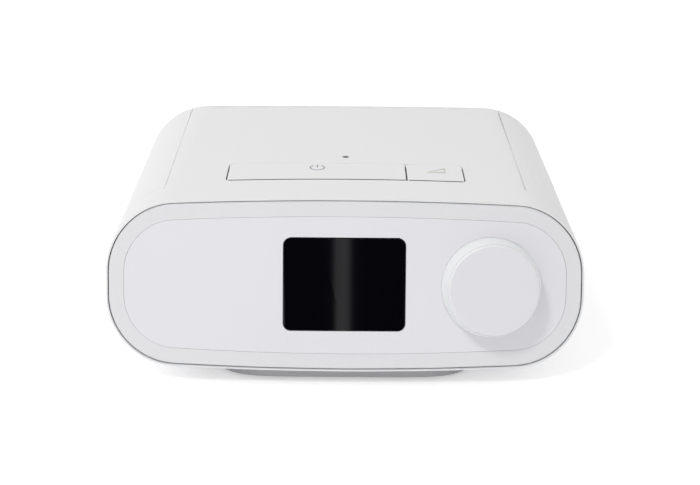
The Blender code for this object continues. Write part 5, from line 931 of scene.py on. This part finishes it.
def stroke(mesh, start, end, width):
    """A straight printed line from start to end, with round ends."""
    start, end = Vector(start), Vector(end)
    bar = bmesh.ops.create_cube(mesh, size=1)["verts"]
    bmesh.ops.scale(mesh, vec=((end - start).length + width, width, 2 * PRINT_DEPTH), verts=bar)
    sides = [edge for edge in mesh.edges if set(edge.verts) <= set(bar)]
    corners = [edge for edge in sides if abs(edge.verts[0].co.z - edge.verts[1].co.z) > PRINT_DEPTH]
    rounding = {"segments": 4, "profile": 0.5, "affect": "EDGES", "material": -1}
    made = bmesh.ops.bevel(mesh, geom=corners, offset=width * CORNER_SHARE, **rounding)
    bar = list({vert for face in made["faces"] for vert in face.verts} | {v for v in bar if v.is_valid})
    slant = Matrix.Rotation(math.atan2(end.y - start.y, end.x - start.x), 4, "Z")
    bmesh.ops.transform(mesh, matrix=Matrix.Translation(((start + end) / 2).to_3d()) @ slant, verts=bar)


def printed(mesh, name, ink, node, place):
    """Lays a flat symbol onto a cap."""
    bmesh.ops.recalc_face_normals(mesh, faces=mesh.faces)
    bmesh.ops.transform(mesh, matrix=on_cap(node, *place), verts=mesh.verts)
    add(mesh, name, ink, BODY_OF[node], angle=60)


def ink_of(name, colour):
    """Pad-printed ink, a little uneven where it lies on the grain."""
    ink = Finish(name, "button_white")
    dots = ink.noise(0.0002, 3.0)
    ink.set(
        Base_Color=ink.tint(dots, colour, 0.06),
        Roughness=0.42 + dots * 0.1,
        Normal=ink.relief(dots, 0.000005, 0.4),
    )
    return ink


SLATE_INK, SAND_INK = (0.27, 0.30, 0.37), (0.62, 0.60, 0.50)
POWER_RADIUS, POWER_LINE = 0.0030, 0.0006
POWER_GAP, POWER_STEPS = math.radians(64), 40
STEM_LOW, STEM_HIGH = (0, 0.0006), (0, 0.0033)
POWER_PLACE, RAMP_PLACE = (-0.0121, -0.0188), (0.0383, -0.0205)
power_symbol = bmesh.new()
section = bmesh.ops.create_grid(power_symbol, x_segments=1, y_segments=1, size=0.5)["verts"]
bmesh.ops.scale(power_symbol, vec=(POWER_LINE, 2 * PRINT_DEPTH, 1), verts=section)
bmesh.ops.rotate(power_symbol, cent=(0, 0, 0), matrix=UPRIGHT, verts=section)
bmesh.ops.translate(power_symbol, vec=(POWER_RADIUS, 0, 0), verts=section)
opening = Matrix.Rotation(math.radians(90) + POWER_GAP / 2, 3, "Z")
bmesh.ops.rotate(power_symbol, cent=(0, 0, 0), matrix=opening, verts=section)
sweep = {"axis": (0, 0, 1), "cent": (0, 0, 0), "angle": math.tau - POWER_GAP, "steps": POWER_STEPS}
bmesh.ops.spin(power_symbol, geom=power_symbol.faces[:], **sweep)
stroke(power_symbol, STEM_LOW, STEM_HIGH, POWER_LINE)
printed(power_symbol, "power_symbol", ink_of("slate_ink", SLATE_INK), "power_button", POWER_PLACE)

WEDGE, WEDGE_LINE = ((-0.0037, -0.0024), (0.0034, -0.0024), (0.0037, 0.0026)), 0.0004
ramp_symbol = bmesh.new()
for start, end in zip(WEDGE, WEDGE[1:] + WEDGE[:1]):
    stroke(ramp_symbol, start, end, WEDGE_LINE)
printed(ramp_symbol, "ramp_symbol", ink_of("sand_ink", SAND_INK), "ramp_button", RAMP_PLACE)


# Filter door.
# The white door over the air inlet and the memory card, hinged along its upper edge, with the
# inlet's louvres. The wall of its joint with the top is painted near black, as painted shade.
DOOR_EDGE, DOOR_LIP, DOOR_BACK = 0.0776, 0.0020, 0.0003
PAINTED_SEAM_SHADE, WALL_FACING = (0.10, 0.10, 0.11), 0.6
door_white = moulded("white_case", WHITE_WARM, roughness=0.40, grain=0.0003, depth=0.00002)
# The door's wall that faces the case across the seam is painted near black: painted shade in the joint.
painted_seam_wall = (door_white.facing((-1, 0, 0)) > WALL_FACING) * (door_white.along(0) < DOOR_EDGE)
door_white.shade(painted_seam_wall, PAINTED_SEAM_SHADE)


def leave_seam(place):
    """The door's upper edge stands off the case, so that its seam is a dark line."""
    if place.x < DOOR_EDGE - DOOR_LIP:
        place.x += DOOR_BACK
    return place


refine_shell(door_white, "filter_door", move=leave_seam)


# Studio.
# A white floor under an even white sky, with a small lamp high at the front left, a large one on
# the left and a wide faint one low in front. The floor glows more for the camera and for mirrors.
FLOOR_WHITE, FLOOR_HALF = (0.9, 0.9, 0.9), 6
FLOOR_GLOW, FLOOR_LIGHT = 0.28, 0.10


def stage_piece(name, mesh, finish):
    """A piece of the studio, which isn't part of the machine."""
    data = bpy.data.meshes.new(name)
    mesh.to_mesh(data)
    mesh.free()
    data.materials.append(finish.material)
    made = bpy.data.objects.new(name, data)
    bpy.context.scene.collection.objects.link(made)
    return made


matt = {"Roughness": 0.9, "Specular_IOR_Level": 0.0}
stage_white = Finish("studio_floor", "none", Base_Color=FLOOR_WHITE, **matt)
rays = stage_white.tree.nodes.new("ShaderNodeLightPath")
seen = Value(stage_white.tree, rays.outputs["Is Camera Ray"])
seen = seen + Value(stage_white.tree, rays.outputs["Is Glossy Ray"])
stage_white.set(Emission_Color=(1, 1, 1), Emission_Strength=seen * FLOOR_GLOW + FLOOR_LIGHT)
floor_mesh = bmesh.new()
bmesh.ops.create_grid(floor_mesh, x_segments=1, y_segments=1, size=FLOOR_HALF)
stage_piece("studio_floor", floor_mesh, stage_white)

# Two black cards behind the camera, seen only in mirrors: the display shows them and the light
# between them.
CARD_AWAY, CARD_GAP, CARD_SIZE, CARD_HEIGHT = 1.6, 0.042, 1.1, 0.28
CARD_BLACK = (0.004, 0.004, 0.005)
black_card = Finish("black_card", "none", Base_Color=CARD_BLACK, Roughness=1.0, Specular_IOR_Level=0.0)
for side in (-1, 1):
    card_mesh = bmesh.new()
    bmesh.ops.create_grid(card_mesh, x_segments=1, y_segments=1, size=CARD_SIZE)
    bmesh.ops.rotate(card_mesh, cent=(0, 0, 0), matrix=UPRIGHT, verts=card_mesh.verts)
    shift = (side * (CARD_SIZE + CARD_GAP / 2), -CARD_AWAY, CARD_HEIGHT)
    bmesh.ops.translate(card_mesh, vec=shift, verts=card_mesh.verts)
    flag = stage_piece("black_card_left" if side < 0 else "black_card_right", card_mesh, black_card)
    for ray in ("camera", "diffuse", "transmission", "volume_scatter", "shadow"):
        setattr(flag, f"visible_{ray}", False)

SKY_LIGHT = 0.68
world = bpy.data.worlds.new("studio_sky")
world.use_nodes = True
bpy.context.scene.world = world
sky = world.node_tree
path = sky.nodes.new("ShaderNodeLightPath")
background = sky.nodes["Background"]
background.inputs["Color"].default_value = (1, 1, 1, 1)
seen = Value(sky, path.outputs["Is Camera Ray"])
for ray in ("Is Glossy Ray", "Is Transmission Ray"):
    seen = seen.maths("MAXIMUM", seen, Value(sky, path.outputs[ray]))
feed(sky, seen * (1 - SKY_LIGHT) + SKY_LIGHT, background.inputs["Strength"])


LAMP_TARGET = (0, 0, 0.04)


def lamp(name, place, width, height, power):
    """A rectangular soft lamp in metres and watts, turned to the machine."""
    data = bpy.data.lights.new(name, "AREA")
    data.shape = "RECTANGLE"
    data.size, data.size_y = width, height
    data.energy = power
    made = bpy.data.objects.new(name, data)
    made.location = place
    made.rotation_euler = (Vector(LAMP_TARGET) - Vector(place)).to_track_quat("-Z", "Y").to_euler()
    bpy.context.scene.collection.objects.link(made)
    return made


lamp("key_lamp", place=(-0.50, -0.97, 1.18), width=0.22, height=0.22, power=5)
lamp("left_lamp", place=(-1.3, 0.1, 1.0), width=0.9, height=0.9, power=4)
front_lamp = lamp("front_lamp", place=(-0.2, -1.6, 0.25), width=1.2, height=0.4, power=0.7)
front_lamp.visible_glossy = False
